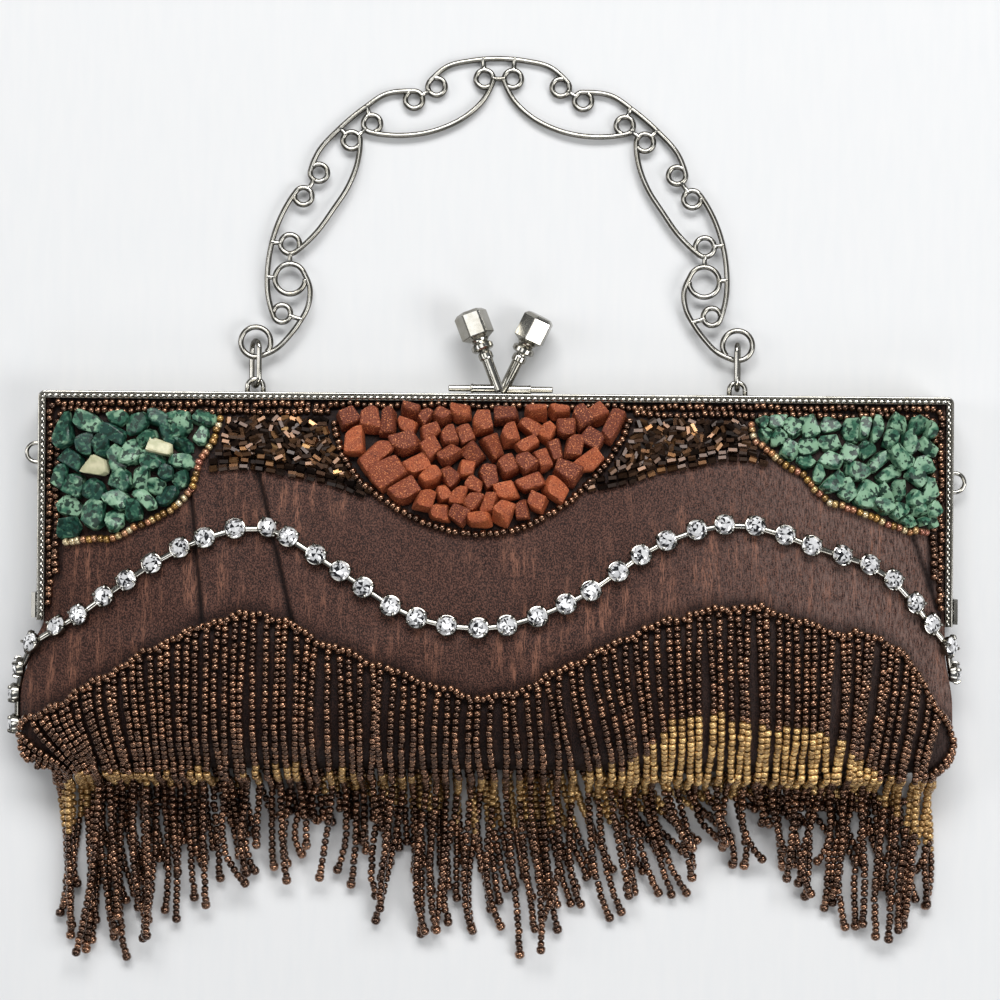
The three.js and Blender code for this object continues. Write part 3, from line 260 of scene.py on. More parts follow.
def add_piece(name, points, faces, material, slot, body="bag", crisp=None, tone=None):
    """One mesh object: points in millimetres, faces as one array of corner numbers for each number of
    corners. Edges sharper than `crisp` degrees stay crisp. tone is a value per point or per face."""
    corners = np.concatenate([np.ravel(block) for block in faces])
    sizes = np.concatenate([np.full(len(block), block.shape[1]) for block in faces])
    mesh = bpy.data.meshes.new(name)
    mesh.vertices.add(len(points))
    mesh.vertices.foreach_set("co", np.ravel(points) * MM)
    mesh.loops.add(len(corners))
    mesh.loops.foreach_set("vertex_index", corners.astype(np.int32))
    mesh.polygons.add(len(sizes))
    mesh.polygons.foreach_set("loop_start", (np.cumsum(sizes) - sizes).astype(np.int32))
    mesh.update(calc_edges=True)
    if crisp == 0:
        mesh.shade_flat()
    else:
        mesh.shade_smooth()
    if crisp:
        mesh.set_sharp_from_angle(angle=math.radians(crisp))
    if tone is not None:
        domain = "POINT" if len(tone) == len(points) else "FACE"
        mesh.attributes.new("tone", "FLOAT", domain).data.foreach_set("value", tone)
    mesh.materials.append(material)
    piece = bpy.data.objects.new(name, mesh)
    bpy.context.collection.objects.link(piece)
    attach(piece, body)
    return piece


class Socket:
    """An output of a node in one material. Arithmetic on it adds Math nodes, node() any other."""

    def __init__(self, tree, output=None):
        self.tree = tree
        self.output = output

    def node(self, kind, settings=None, sockets=None, output=0):
        """A new node: its settings first, a ramp's stops among them, then its sockets."""
        made = self.tree.nodes.new(kind)
        for name, value in (settings or {}).items():
            if name == "stops":
                ramp = made.color_ramp.elements
                while len(ramp) < len(value):
                    ramp.new(1.0)
                for stop, (place, colour) in zip(ramp, value):
                    stop.position = place
                    stop.color = colour
            else:
                setattr(made, name, value)
        for name, value in (sockets or {}).items():
            if isinstance(value, Socket):
                self.tree.links.new(value.output, made.inputs[name])
            else:
                made.inputs[name].default_value = value
        return Socket(self.tree, made.outputs[output])

    def maths(self, operation, first, second):
        return self.node("ShaderNodeMath", {"operation": operation}, {0: first, 1: second})

    def __add__(self, other):
        return self.maths("ADD", self, other)

    def __radd__(self, other):
        return self.maths("ADD", other, self)

    def __sub__(self, other):
        return self.maths("SUBTRACT", self, other)

    def __rsub__(self, other):
        return self.maths("SUBTRACT", other, self)

    def __mul__(self, other):
        return self.maths("MULTIPLY", self, other)

    def __rmul__(self, other):
        return self.maths("MULTIPLY", other, self)


def finish_of(name, fixed, look):
    """A material: constant values on the shader's sockets, and the sockets that look() works out."""
    material = bpy.data.materials.new(name)
    material.use_nodes = True
    tree = material.node_tree
    shader = tree.nodes["Principled BSDF"]
    for socket, value in fixed.items():
        shader.inputs[socket].default_value = value
    for socket, value in look(Socket(tree)).items():
        tree.links.new(value.output, shader.inputs[socket])
    return material


def noise(at, grain, detail=2.0):
    """Noise over the piece, with grains of the given size in mm along x, y and z."""
    spot = at.node("ShaderNodeTexCoord", output="Object")
    sized = at.node(
        "ShaderNodeMapping", {}, {"Vector": spot, "Scale": tuple(1 / (MM * size) for size in grain)}
    )
    return at.node("ShaderNodeTexNoise", {}, {"Vector": sized, "Scale": 1.0, "Detail": detail})


def tone_of(at):
    """The piece's value between 0 and 1, point by point or face by face: a random tone on beads and
    chips, painted shade on the satin and the metal, and painted reflections on the cut stones.
    """
    return at.node("ShaderNodeAttribute", {"attribute_name": "tone"}, output="Fac")


def between(value, low, high):
    """0 where value is under low, 1 over high, and a smooth step between."""
    sockets = {"Value": value, "From Min": low, "From Max": high}
    return value.node("ShaderNodeMapRange", {"interpolation_type": "SMOOTHSTEP"}, sockets)


def mixed(share, low, high):
    """A colour that goes from low to high with share."""
    return share.node("ShaderNodeMix", {"data_type": "RGBA"}, {0: share, 6: low, 7: high}, output=2)


def bumped(height, depth, strength):
    """The surface's normal with height as relief, depth in mm."""
    sockets = {"Height": height, "Distance": depth * MM, "Strength": strength}
    return height.node("ShaderNodeBump", {}, sockets)


def pouch_rings():
    """Rings of the pouch from the bottom up. Each starts in the middle of the left side and goes over
    the front, round the right side and back along the underside: the front's heights, sides as
    superellipses between the edges, and an underside that turns up quadratically at both ends."""
    low, high = POUCH_SECTIONS[0, 0], POUCH_SECTIONS[-1, 0]
    y = low + (high - low) * np.linspace(0, 1, POUCH_ROWS) ** ROW_SPREAD
    y = np.concatenate([low - BOTTOM_ROWS[:, 0], y])[:, None]
    pinch = np.ones_like(y)
    pinch[: len(BOTTOM_ROWS), 0] = BOTTOM_ROWS[:, 1]
    left, right, front_edge, back_edge, ledge, turn, _, back = pouch_section(y)
    fine = np.linspace(-1, 1, 4001)
    close = 1 + CROWDING * smooth_step((np.abs(fine) - CROWDED_FROM) / 0.06)
    for start, end in PLEAT_ZONES:
        opening = smooth_step((fine - start) / ZONE_EASE + 1)
        close = close + CROWDING * opening * smooth_step((end - fine) / ZONE_EASE + 1)
    run = np.cumsum(close)
    share = np.interp(np.linspace(run[0], run[-1], POUCH_COLUMNS), run, fine)
    across = np.where(share < 0, left, right) - ledge
    front_x = share * across
    front_z = front_height(front_x, np.broadcast_to(y, front_x.shape))
    past = np.clip((np.abs(share) - turn) / (1 - turn), 0, 1)
    back_z = back + (back_edge - back) * past**2
    angle = np.linspace(np.pi / 2, -np.pi / 2, POUCH_SIDE_COLUMNS * 2 + 2)[1:-1]
    middle, half = (front_edge + back_edge) / 2, (front_edge - back_edge) / 2
    side_z = middle + half * np.sign(np.sin(angle)) * np.abs(np.sin(angle)) ** 0.8
    bulge = ledge * np.cos(angle) ** 0.4
    right_x, left_x = right - ledge + bulge, -(left - ledge + bulge)
    n = POUCH_SIDE_COLUMNS
    x = np.hstack([left_x[:, :n][:, ::-1], front_x, right_x, front_x[:, ::-1], left_x[:, n:][:, ::-1]])
    z = np.hstack([side_z[:, :n][:, ::-1], front_z, side_z, back_z[:, ::-1], side_z[:, n:][:, ::-1]])
    z = np.maximum(middle + (z - middle) * pinch, 0)
    return np.stack([x, np.broadcast_to(y, x.shape), z], axis=-1)


def pouch_faces(rings):
    """Quads between the rings, without the sides above the hinges, and a seam across the bottom."""
    rows, columns = rings.shape[:2]
    faces = grid_faces(rows, columns, wrap_columns=True)
    n = POUCH_SIDE_COLUMNS
    column = faces[:, 0] % columns
    right_start = POUCH_COLUMNS + n
    left_side = (column < n - 3) | (column >= columns - n + 2)
    right_side = (column >= right_start + 3) & (column < right_start + 2 * n - 4)
    above = rings.reshape(-1, 3)[faces[:, 0], 1] > HINGE_END
    faces = faces[~(above & (left_side | right_side))]
    near = np.arange(columns // 2 - 1)
    seam = np.stack([near, columns - 1 - near, columns - 2 - near, near + 1], axis=-1)
    return np.vstack([faces, seam])


def satin_look(at):
    """Dark brown satin: slub threads as long streaks in patches, fine grain of the weave, a painted
    sheen that makes it lighter towards the right side, and painted shade in its creases, along the
    frame and the heading, and under the fringe and the fields."""
    slub = noise(at, (1.9, 17.0, 8.0), 5.0)
    fibre = noise(at, (0.26, 2.6, 0.8), 4.0)
    patch = noise(at, (26.0, 22.0, 40.0), 2.0)
    grain = noise(at, (0.3, 0.42, 0.4), 2.0)
    thread = noise(at, (0.25, 2.2, 0.6), 2.0)
    streak = between(slub, 0.5, 0.66) * between(fibre, 0.42, 0.58) * between(patch, 0.38, 0.6)
    fleck = between(grain, 0.44, 0.62) * 0.8
    ground = mixed(between(thread, 0.3, 0.72), (0.009, 0.004, 0.0033, 1), (0.042, 0.0178, 0.0132, 1))
    flecked = mixed(fleck, ground, (0.13, 0.057, 0.04, 1))
    streaked = mixed(streak * 0.6, flecked, (0.3, 0.132, 0.083, 1))
    # Painted sheen: the satin is lighter towards the right side, as if lit more from there.
    spot = at.node("ShaderNodeTexCoord", output="Object")
    sideways = at.node("ShaderNodeSeparateXYZ", {}, {"Vector": spot})
    painted_sheen = between(sideways, PAINTED_SHEEN_FROM * MM, PAINTED_SHEEN_TO * MM) * between(thread, 0.3, 0.7) * 0.44
    with_painted_sheen = mixed(painted_sheen, streaked, (0.27, 0.19, 0.165, 1))
    # Painted shade: the point's tone darkens the satin to near black.
    colour = mixed(tone_of(at) * 0.9, with_painted_sheen, (0.005, 0.0026, 0.0028, 1))
    return {
        "Base Color": colour,
        "Roughness": 0.7 - 0.2 * slub,
        "Normal": bumped(grain + fibre * 0.6 + slub * 0.8, 0.3, 0.5),
    }


satin = finish_of("brown_satin", {"Sheen Weight": 0.03, "Specular IOR Level": 0.16}, satin_look)
rings = pouch_rings()
shade = np.zeros(rings.shape[:2])
front = slice(POUCH_SIDE_COLUMNS, POUCH_SIDE_COLUMNS + POUCH_COLUMNS)
shade[:, front] = front_shade(rings[:, front, 0], rings[:, front, 1])
pouch = add_piece(
    "satin_pouch", rings.reshape(-1, 3), [pouch_faces(rings)], satin, "brown_satin", tone=shade.ravel()
)
skin = pouch.modifiers.new("skin", "SOLIDIFY")
skin.thickness = POUCH_SKIN * MM
skin.offset = -1
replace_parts(pouch, "pouch")


# Frame: two halves of nickelled brass strip, rolled to channels that clamp the satin and bent to a
# U with sharp corners. A plain rim and a twisted rope run along the front half's face, and small
# plates with pegs hinge the halves at the arms' ends.

FRAME_HALF_WIDTH = 109.0
FRAME_TOP = 39.7
FRAME_CORNER = 1.6
BACK_HALF_TOP = 5.5
BACK_HALF_MIDDLE = 2.9
FRONT_HALF_BOTTOM = 5.8
FRONT_HALF_MIDDLE = 8.4
# Channel's outline as distance in from the outer edge and height over its closed side
CHANNEL = np.array([
    (1.8, 0.0), (0.3, 0.0), (0.09, 0.09), (0.0, 0.3), (0.0, 4.8), (0.05, 5.05), (0.2, 5.2),
    (0.38, 5.22), (0.54, 5.12), (0.6, 4.9), (1.74, 4.9), (1.8, 4.82), (1.8, 4.5), (0.7, 4.5),
    (0.7, 0.7), (1.8, 0.7),
])
CHANNEL_STEP = 2.0
BEND_STATIONS = 7
BEND_GAP = 0.3
SMALLEST_BEND = 0.05
ROPE_STEP = 0.2
ROPE_INSET = 1.18
ROPE_LEVEL = FRONT_HALF_BOTTOM + 4.86
ROPE_PITCH = 1.5
ROPE_SIDES = 12
ROPE_RADIUS = (0.2, 0.32)


def frame_stations(step):
    """Stations up the left arm, along the top and down the right arm: middle of the bend's circle,
    outward direction, and inward direction in which lines deeper than the bend's radius go on."""
    wide, high = FRAME_HALF_WIDTH - FRAME_CORNER, FRAME_TOP - FRAME_CORNER
    arm = np.linspace(HINGE_END, high - BEND_GAP, int((high - HINGE_END) / step))
    top = np.linspace(-wide + BEND_GAP, wide - BEND_GAP, int(2 * wide / step))
    bend = np.linspace(np.pi, np.pi / 2, BEND_STATIONS)
    side, flat, turn = np.ones(len(arm)), np.ones(len(top)), np.ones(BEND_STATIONS)
    facing = np.concatenate([side * np.pi, bend, flat * np.pi / 2, bend - np.pi / 2, side * 0])
    x = np.concatenate([-side * wide, -turn * wide, top, turn * wide, side * wide])
    y = np.concatenate([arm, turn * high, flat * high, turn * high, arm[::-1]])
    outward = np.stack([np.cos(facing), np.sin(facing)], axis=-1)
    corner = np.concatenate([side * 0, turn, flat * 0, turn, side * 0])[:, None]
    diagonal = np.stack([-np.sign(x), -np.ones_like(x)], axis=-1)
    return np.stack([x, y], axis=-1), outward, np.where(corner > 0, diagonal, -outward)


def frame_line(stations, inset, level):
    """Points at distances in from the outer edge: the bend's circle shrinks by the inset, and what
    is deeper than its radius goes straight on inwards."""
    middle, outward, inward = (part[:, None, :] for part in stations)
    inset = np.asarray(inset)[..., None]
    shrunk = np.maximum(FRAME_CORNER - inset, SMALLEST_BEND)
    flat = middle + shrunk * outward + (inset - FRAME_CORNER + shrunk) * inward
    return np.concatenate([flat, np.broadcast_to(level, flat.shape[:2])[..., None]], axis=-1)


def run_of(path):
    """Distance along a path to each of its points."""
    return np.concatenate([[0], np.cumsum(np.linalg.norm(np.diff(path, axis=0), axis=-1))])


def solid(rings, closed=False):
    """Points and faces of a solid through rings of points, with flat ends unless it is closed."""
    rows, columns = rings.shape[:2]
    faces = [grid_faces(rows, columns, wrap_rows=closed, wrap_columns=True)]
    if not closed:
        ring = np.arange(columns)
        faces.append(np.stack([ring[::-1], ring + (rows - 1) * columns]))
    return rings.reshape(-1, 3), faces


def joined(solids):
    """Several solids as one list of points and faces."""
    counts = np.cumsum([0] + [len(points) for points, _ in solids])
    blocks = [block + count for (_, faces), count in zip(solids, counts) for block in faces]
    return np.concatenate([points for points, _ in solids]), blocks


def with_painted_shade(piece, most=1.0, recessed=0.0, shade_run=0.36):
    """Marks painted shade on each point of a metal piece, which also lessens its gloss: up to `most` as
    it looks to the side, the sooner the shorter the given run, and as much as given where it is recessed."""
    normals = np.empty(len(piece.data.vertices) * 3, np.float32)
    piece.data.vertices.foreach_get("normal", normals)
    dull = np.maximum(most * smooth_step((0.98 - np.abs(normals[2::3])) / shade_run), recessed)
    piece.data.attributes.new("tone", "FLOAT", "POINT").data.foreach_set("value", dull)
    return piece


def metal_look(at):
    """Nickel, bright where it faces up, and painted dark brown as painted shade where it faces the side
    or lies recessed, with less gloss there: stains in its colour, fine scratches in its gloss."""
    stain = noise(at, (3.0, 3.0, 3.0), 3.0)
    scratch = noise(at, (0.25, 1.6, 0.4), 2.0)
    bright = mixed(between(stain, 0.3, 0.75), (0.82, 0.8, 0.74, 1), (0.6, 0.57, 0.49, 1))
    # The tone is painted shade: it darkens the nickel to dull brown, and it also roughens it.
    dull = tone_of(at)
    return {
        "Base Color": mixed(dull * 0.92, bright, (0.06, 0.053, 0.04, 1)),
        "Roughness": 0.05 + 0.09 * scratch + 0.2 * dull,
        "Normal": bumped(scratch, 0.02, 0.3),
    }


nickel = finish_of("nickel", {"Metallic": 1.0}, metal_look)
stations = frame_stations(CHANNEL_STEP)
inset, height = CHANNEL[:, 0], CHANNEL[:, 1]
front_half = frame_line(stations, inset, FRONT_HALF_BOTTOM + height)
back_half = frame_line(stations, inset[::-1], BACK_HALF_TOP - height[::-1])
for name, node, half, depth in (
    ("front_channel", "frame_front", front_half, inset),
    ("back_channel", "frame_back", back_half, inset[::-1]),
):
    channel = add_piece(name, *solid(half), nickel, "silver_metal", crisp=40)
    # Painted shade: the channel is darker on its sides and darkest inside it.
    inner = np.tile(smooth_step(depth * 4 - 0.6), len(half))
    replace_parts(with_painted_shade(channel, 0.6, 0.9 * inner), node)

stations = frame_stations(ROPE_STEP)
edge = frame_line(stations, np.zeros(1), 0.0)[:, 0]
along = run_of(edge)[:, None]
angle = -np.linspace(0, 2 * np.pi, ROPE_SIDES, endpoint=False)
ridge = 1 - (1 - np.abs(np.sin(np.pi * along / ROPE_PITCH + angle / 2))) ** 1.5
radius = ROPE_RADIUS[0] + ROPE_RADIUS[1] * ridge
rope_rings = frame_line(
    stations, ROPE_INSET + radius * np.cos(angle), ROPE_LEVEL + radius * np.sin(-angle)
)
# Painted shade in the grooves between the rope's twists.
groove = 1 - smooth_step((ridge[:, ::-1] - 0.74) / 0.2)
add_piece("frame_rope", *solid(rope_rings[:, ::-1]), nickel, "silver_metal", tone=groove.ravel())
for side in ("left", "right"):
    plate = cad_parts["hinge_plate_" + side]
    plate.data.materials.clear()
    plate.data.materials.append(nickel)
    # Painted shade on the plates' sides, and darker by half all over.
    with_painted_shade(plate, 0.8, 0.5)


# Kiss-lock posts: two turned brass posts, nickelled, that snap past each other. Each stands on a
# foot bar soldered along its half of the frame, with two collars and a faceted knob.

# Posts: node, foot's x and level, lean outwards in degrees, side, knob's level, turn of its facets
POSTS = [
    ("clasp_post_front", 0.4, FRONT_HALF_MIDDLE, 21, -1, 6.8, 4),
    ("clasp_post_back", 1.8, BACK_HALF_MIDDLE, 26, 1, 4.8, 24),
]
FOOT_Y = FRAME_TOP + 1.3
KNOB_MIDDLE = 16.2
KNOB_FACETS = 6
KNOB_SIDES = 72
STEM_SIDES = 32
FOOT_BAR_SIDES = 20
# Profiles as distance along the axis and radius
STEM = [
    (-0.8, 1.0), (-0.5, 1.3), (7.4, 1.34), (7.5, 1.6), (7.8, 1.75), (8.9, 1.75), (9.2, 1.6),
    (9.3, 1.35), (9.6, 1.3), (9.8, 2.3), (10.2, 2.7), (11.1, 2.7), (11.5, 2.3), (11.6, 1.7),
    (11.9, 1.9), (12.3, 2.2), (12.6, 2.3), (13.2, 1.7),
]
KNOB = [
    (12.5, 2.4), (12.7, 2.7), (13.4, 3.95), (13.6, 4.1), (18.9, 4.1), (19.1, 3.95), (19.7, 3.2),
    (19.8, 2.6),
]
FOOT_BAR = [
    (-0.9, 0.5), (-0.6, 0.85), (0.0, 1.0), (5.8, 1.0), (6.1, 1.12), (6.4, 1.12), (6.6, 0.78),
    (11.6, 0.75), (11.8, 0.6),
]


def turned(profile, sides, facets=0, turn=0.0):
    """Rings of a turned solid along +Y at (distance, radius). With facets the radius is that of a
    polygon, radius x cos(half a facet) over cos(angle from the facet's middle), its corners eased."""
    angle = np.linspace(0, 2 * np.pi, sides, endpoint=False)
    along, radius = np.array(profile).T[:, :, None]
    if facets:
        half = np.pi / facets
        from_middle = (angle - turn + half) % (2 * half) - half
        radius = radius * np.minimum(np.cos(half) / np.cos(from_middle), 0.985)
    flat = np.broadcast_to(along, (len(profile), sides))
    return np.stack([radius * np.sin(angle), flat, radius * np.cos(angle)], axis=-1)


def stood(rings, foot, axis, up=(0, 0, 1)):
    """Rings along +Y moved to stand on foot along axis, with their +Z side as near to up as it goes."""
    axis = unit(np.array(axis, float))
    side = unit(np.cross(axis, up))
    return np.asarray(foot) + rings @ np.stack([side, axis, np.cross(side, axis)])


for node, foot_x, foot_z, lean, side, knob_z, facet_turn in POSTS:
    foot = (foot_x, FOOT_Y, foot_z)
    tilt = math.radians(lean)
    axis = (side * KNOB_MIDDLE * math.sin(tilt), KNOB_MIDDLE * math.cos(tilt), knob_z - foot_z)
    knob = turned(KNOB, KNOB_SIDES, KNOB_FACETS, math.radians(facet_turn))
    foot_bar = stood(turned(FOOT_BAR, FOOT_BAR_SIDES), foot, (side, 0, 0))
    stem = stood(turned(STEM, STEM_SIDES), foot, axis)
    solids = [solid(stem), solid(stood(knob, foot, axis)), solid(foot_bar)]
    post = add_piece(node + "_turned", *joined(solids), nickel, "silver_metal", crisp=24)
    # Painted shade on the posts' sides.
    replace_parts(with_painted_shade(post, 0.65), node)


# Staples, side loops and links: bent round wire, nickelled. Staples and loops are riveted through
# the back half of the frame, and an oval link joins each staple to an end ring of the handle.

STAPLE_X = 58.0
STAPLE_LEG = -0.6
STAPLE_STEPS = 21
# Staples: node, place on the frame, turn, half width, rise, wire radius
STAPLES = [
    ("staple_left", (-STAPLE_X, FRAME_TOP, BACK_HALF_MIDDLE), 0, 1.9, 3.4, 0.6),
    ("staple_right", (STAPLE_X, FRAME_TOP, BACK_HALF_MIDDLE), 0, 1.9, 3.4, 0.6),
    ("side_loop_left", (-FRAME_HALF_WIDTH, 25.0, BACK_HALF_MIDDLE), 90, 2.3, 3.9, 0.5),
    ("side_loop_right", (FRAME_HALF_WIDTH, 19.4, BACK_HALF_MIDDLE), -90, 2.3, 3.9, 0.5),
]
# Links: node, x, turn about the bag's length in degrees
LINKS = [("link_left", -STAPLE_X, 28), ("link_right", STAPLE_X, -9)]
LINK_STEPS = 48
LINK_HALF_WIDTH = 2.2
LINK_WIRE = 0.62
LINK_LENGTH = 12.1
LINK_MIDDLE_Y = FRAME_TOP + 1.1 + LINK_LENGTH / 2


def wire(path, radius, plane, sides=12, closed=False):
    """Rings of a round wire along a path that lies in a plane: circles across the path's direction."""
    if closed:
        direction = np.roll(path, -1, axis=0) - np.roll(path, 1, axis=0)
    else:
        direction = np.gradient(path, axis=0)
    across = unit(np.cross(plane, direction))[:, None, :]
    angle = np.linspace(0, 2 * np.pi, sides, endpoint=False)[None, :, None]
    radius = np.broadcast_to(radius, len(path))[:, None, None]
    return path[:, None, :] + radius * (across * np.cos(angle) + np.asarray(plane) * np.sin(angle))


for node, place, turn, half_width, rise, thickness in STAPLES:
    bow = np.linspace(np.pi, 0, STAPLE_STEPS)
    leg = np.array([[-half_width, STAPLE_LEG]])
    bent = np.stack([np.cos(bow), np.sin(bow)], axis=-1) * half_width + [0, rise - half_width]
    flat = np.vstack([leg, bent, leg * [-1, 1]])
    cos, sin = math.cos(math.radians(turn)), math.sin(math.radians(turn))
    flat = flat @ np.array([[cos, sin], [-sin, cos]])
    path = np.column_stack([flat, np.zeros(len(flat))]) + place
    rings = wire(path, thickness, (0, 0, 1))
    staple = add_piece(node + "_wire", *solid(rings), nickel, "silver_metal")
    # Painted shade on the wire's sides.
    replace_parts(with_painted_shade(staple), node)

for node, x, turn in LINKS:
    bow = np.linspace(0, 2 * np.pi, LINK_STEPS, endpoint=False) + np.pi / LINK_STEPS
    spread = LINK_LENGTH / 2 - LINK_HALF_WIDTH - LINK_WIRE
    wide = LINK_HALF_WIDTH * np.cos(bow)
    long = LINK_HALF_WIDTH * np.sin(bow) + spread * np.sign(np.sin(bow))
    cos, sin = math.cos(math.radians(turn)), math.sin(math.radians(turn))
    level = BACK_HALF_MIDDLE + wide * cos
    path = np.stack([x + wide * sin, LINK_MIDDLE_Y + long, level], axis=-1)
    rings = wire(path, LINK_WIRE, np.array((cos, 0, -sin)), closed=True)
    link = add_piece(node + "_wire", *solid(rings, closed=True), nickel, "silver_metal")
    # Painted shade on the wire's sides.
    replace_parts(with_painted_shade(link), node)


# Handle: scrolls of round brass wire, each with an eye curled at both ends, laid out flat, soldered
# where they touch and nickelled. It hinges on the links and lies on the table behind the frame.

HANDLE_WIRE = 0.66
SCROLL_STEP = 0.32
EYE_OPENING = math.radians(22)
EYE_STEPS = 25
# Eyes: x and height over the frame's top, radius
EYES = {
    "crown": (3.4, 76.4, 2.1),
    "top_outer": (15.0, 74.4, 2.1),
    "upper_a": (20.4, 71.2, 2.1),
    "inner_a": (30.5, 65.3, 2.1),
    "inner_b": (35.4, 61.2, 2.1),
    "upper_b": (43.2, 53.3, 2.1),
    "lower_a": (46.9, 47.6, 2.1),
    "lower_b": (50.0, 36.0, 2.3),
    "large": (49.9, 27.6, 3.65),
    "lower_c": (51.8, 19.2, 2.1),
    "end": (58.0, 12.3, 3.6),
}
# Scrolls of the right half: the two eyes, which way they curl, points between
SCROLLS = [
    ("upper_a", "upper_b", -1, [(27.2, 72.5), (32.4, 69.1), (38.6, 63.8), (43.6, 58.0)]),
    ("lower_a", "lower_c", -1, [(51.9, 43.4), (54.2, 37.0), (55.3, 30.0), (55.2, 24.0)]),
    ("crown", "inner_a", 1, [(3.6, 71.4), (7.6, 67.5), (14.0, 64.2), (24.4, 62.5)]),
    ("inner_b", "lower_b", 1, [(33.8, 56.5), (36.0, 50.3), (39.8, 44.3), (43.9, 38.6)]),
    ("large", "end", 1, [(45.1, 25.4), (45.6, 20.8), (47.5, 17.2), (50.0, 13.8), (53.2, 10.6)]),
]
ARCH = [(12.6, 79.2), (6.4, 80.8), (0.0, 81.3), (-6.4, 80.8), (-12.6, 79.2)]
# Solder: from an eye to another eye or to a point on a scroll
SOLDER = [
    ("top_outer", "upper_a"), ("inner_a", "inner_b"), ("upper_b", "lower_a"), ("lower_b", "large"),
    ("inner_a", (31.8, 69.4)), ("inner_b", (38.2, 64.1)), ("lower_b", (54.3, 36.4)),
    ("large", (55.3, 28.0)), ("lower_c", (47.1, 17.8)), ("crown", (3.8, 81.2)), ("crown", (-1.3, 76.4)),
]
SWING_AXIS_UP = 8.7
SWING_AXIS_Z = BACK_HALF_MIDDLE
# The handle tilts until the arch's top lies on the table, its wire's middle at this level
HANDLE_LYING = 0.81
HANDLE_REST = -math.asin((SWING_AXIS_Z - HANDLE_LYING) / (ARCH[2][1] - SWING_AXIS_UP))
SOLDER_STEPS = 9
SOLDER_SWELL = (0.56, 0.24)


def eye_curl(eye, towards, turn):
    """Points round an eye from where its wire leaves along the tangent to the next point, nearly a
    turn round, to where the end is soldered back to the wire."""
    middle, radius = np.array(eye[:2]), eye[2]
    away = np.array(towards) - middle
    leave = math.atan2(away[1], away[0]) - turn * math.acos(radius / np.linalg.norm(away))
    angle = leave - turn * (2 * np.pi - EYE_OPENING) * np.linspace(0, 1, EYE_STEPS)
    return middle + radius * np.stack([np.cos(angle), np.sin(angle)], axis=-1)


def evenly(path, step):
    """Points a step apart on the smooth curve through a path's points."""
    run = run_of(path)
    return curve_through(run, path, np.linspace(0, run[-1], int(run[-1] / step) + 1))


def handle_place(flat):
    """Points of the handle's plane, tilted about its swing axis to lie on the table."""
    up = flat[..., 1] - SWING_AXIS_UP
    y = FRAME_TOP + SWING_AXIS_UP + up * math.cos(HANDLE_REST)
    return np.stack([flat[..., 0], y, SWING_AXIS_Z + up * math.sin(HANDLE_REST)], axis=-1)


handle_plane = np.array((0, -math.sin(HANDLE_REST), math.cos(HANDLE_REST)))
scroll_paths = []
for start, end, turn, via in SCROLLS:
    first, last = eye_curl(EYES[start], via[0], turn), eye_curl(EYES[end], via[-1], -turn)
    path = evenly(np.vstack([first[::-1], via, last]), SCROLL_STEP)
    scroll_paths += [path, path * (-1, 1)]
arch_end = eye_curl(EYES["top_outer"], ARCH[0], 1)
scroll_paths.append(evenly(np.vstack([arch_end[::-1], ARCH, arch_end * (-1, 1)]), SCROLL_STEP))
handle_solids = [solid(wire(handle_place(path), HANDLE_WIRE, handle_plane)) for path in scroll_paths]
for start, end in SOLDER:
    eye = EYES[start]
    other = np.array(EYES[end][:2] if isinstance(end, str) else end)
    away = unit(other - eye[:2])
    gap = EYES[end][2] if isinstance(end, str) else 0
    ends = np.array([np.array(eye[:2]) + away * eye[2], other - away * gap])
    blob = ends[0] + (ends[1] - ends[0]) * np.linspace(-0.15, 1.15, SOLDER_STEPS)[:, None]
    swell = SOLDER_SWELL[0] + SOLDER_SWELL[1] * np.linspace(-1, 1, SOLDER_STEPS) ** 2
    for mirror in ((1, 1), (-1, 1)):
        handle_solids.append(solid(wire(handle_place(blob * mirror), swell, handle_plane, sides=10)))
handle = add_piece("scrolled_handle", *joined(handle_solids), nickel, "silver_metal", body="handle")
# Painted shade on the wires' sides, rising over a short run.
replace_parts(with_painted_shade(handle, shade_run=0.16), "handle")


# Stone chips: drilled, tumbled chips of red and of green stone, sewn close together on the satin: a
# half-moon of blocky red chips in the middle and flatter, more angular green ones in both corners.

# Fields: node, left and right end, top, edging rope, chips, seed, darkest and palest tone
CHIP_FIELDS = [
    ("stones_red", -38.2, 31.2, 35.4, ROPE_RED, 60, 11, 0.0, 1.0),
    ("stones_green_left", -104.0, -65.8, 34.4, ROPE_GREEN_LEFT, 38, 23, 0.0, 1.0),
    # The right green field's tones are kept high: painted light, as if it were lit more from the right.
    ("stones_green_right", 61.0, 104.1, 34.4, ROPE_GREEN_RIGHT, 44, 37, 0.68, 0.925),
]
CHIP_LIFT = 0.2
ROPE_CLEARANCE = 1.2
CHIP_ROWS = 13
CHIP_COLUMNS = 26
CHIP_GRID_POWER = 0.55
CHIP_SIDES = 5
# Chips by kind: least and greatest half height, least and greatest lift, scatter of the sides'
# directions, least reach of a side, scatter of the top's slope, power that flattens the faces
CHIP_KINDS = {
    "blocky": ((1.7, 2.3), (-0.3, 0.9), 0.18, 0.84, 0.2, 26),
    "flat": ((1.0, 1.6), (-0.2, 1.5), 0.36, 0.72, 0.28, 36),
}


def settled(samples, count, seed, rounds=10):
    """Evenly spread places among sample points: seeded picks, each moved again and again to the
    middle of the samples that are nearest to it. Also the place that each sample is nearest to."""
    places = np.random.default_rng(seed).permutation(samples)[:count]
    for _ in range(rounds):
        nearest = np.linalg.norm(samples[:, None] - places[None], axis=-1).argmin(axis=1)
        share = np.bincount(nearest, minlength=count)[:, None]
        sums = np.stack([np.bincount(nearest, axis, minlength=count) for axis in samples.T], axis=-1)
        places = sums / np.maximum(share, 1)
    return places, nearest


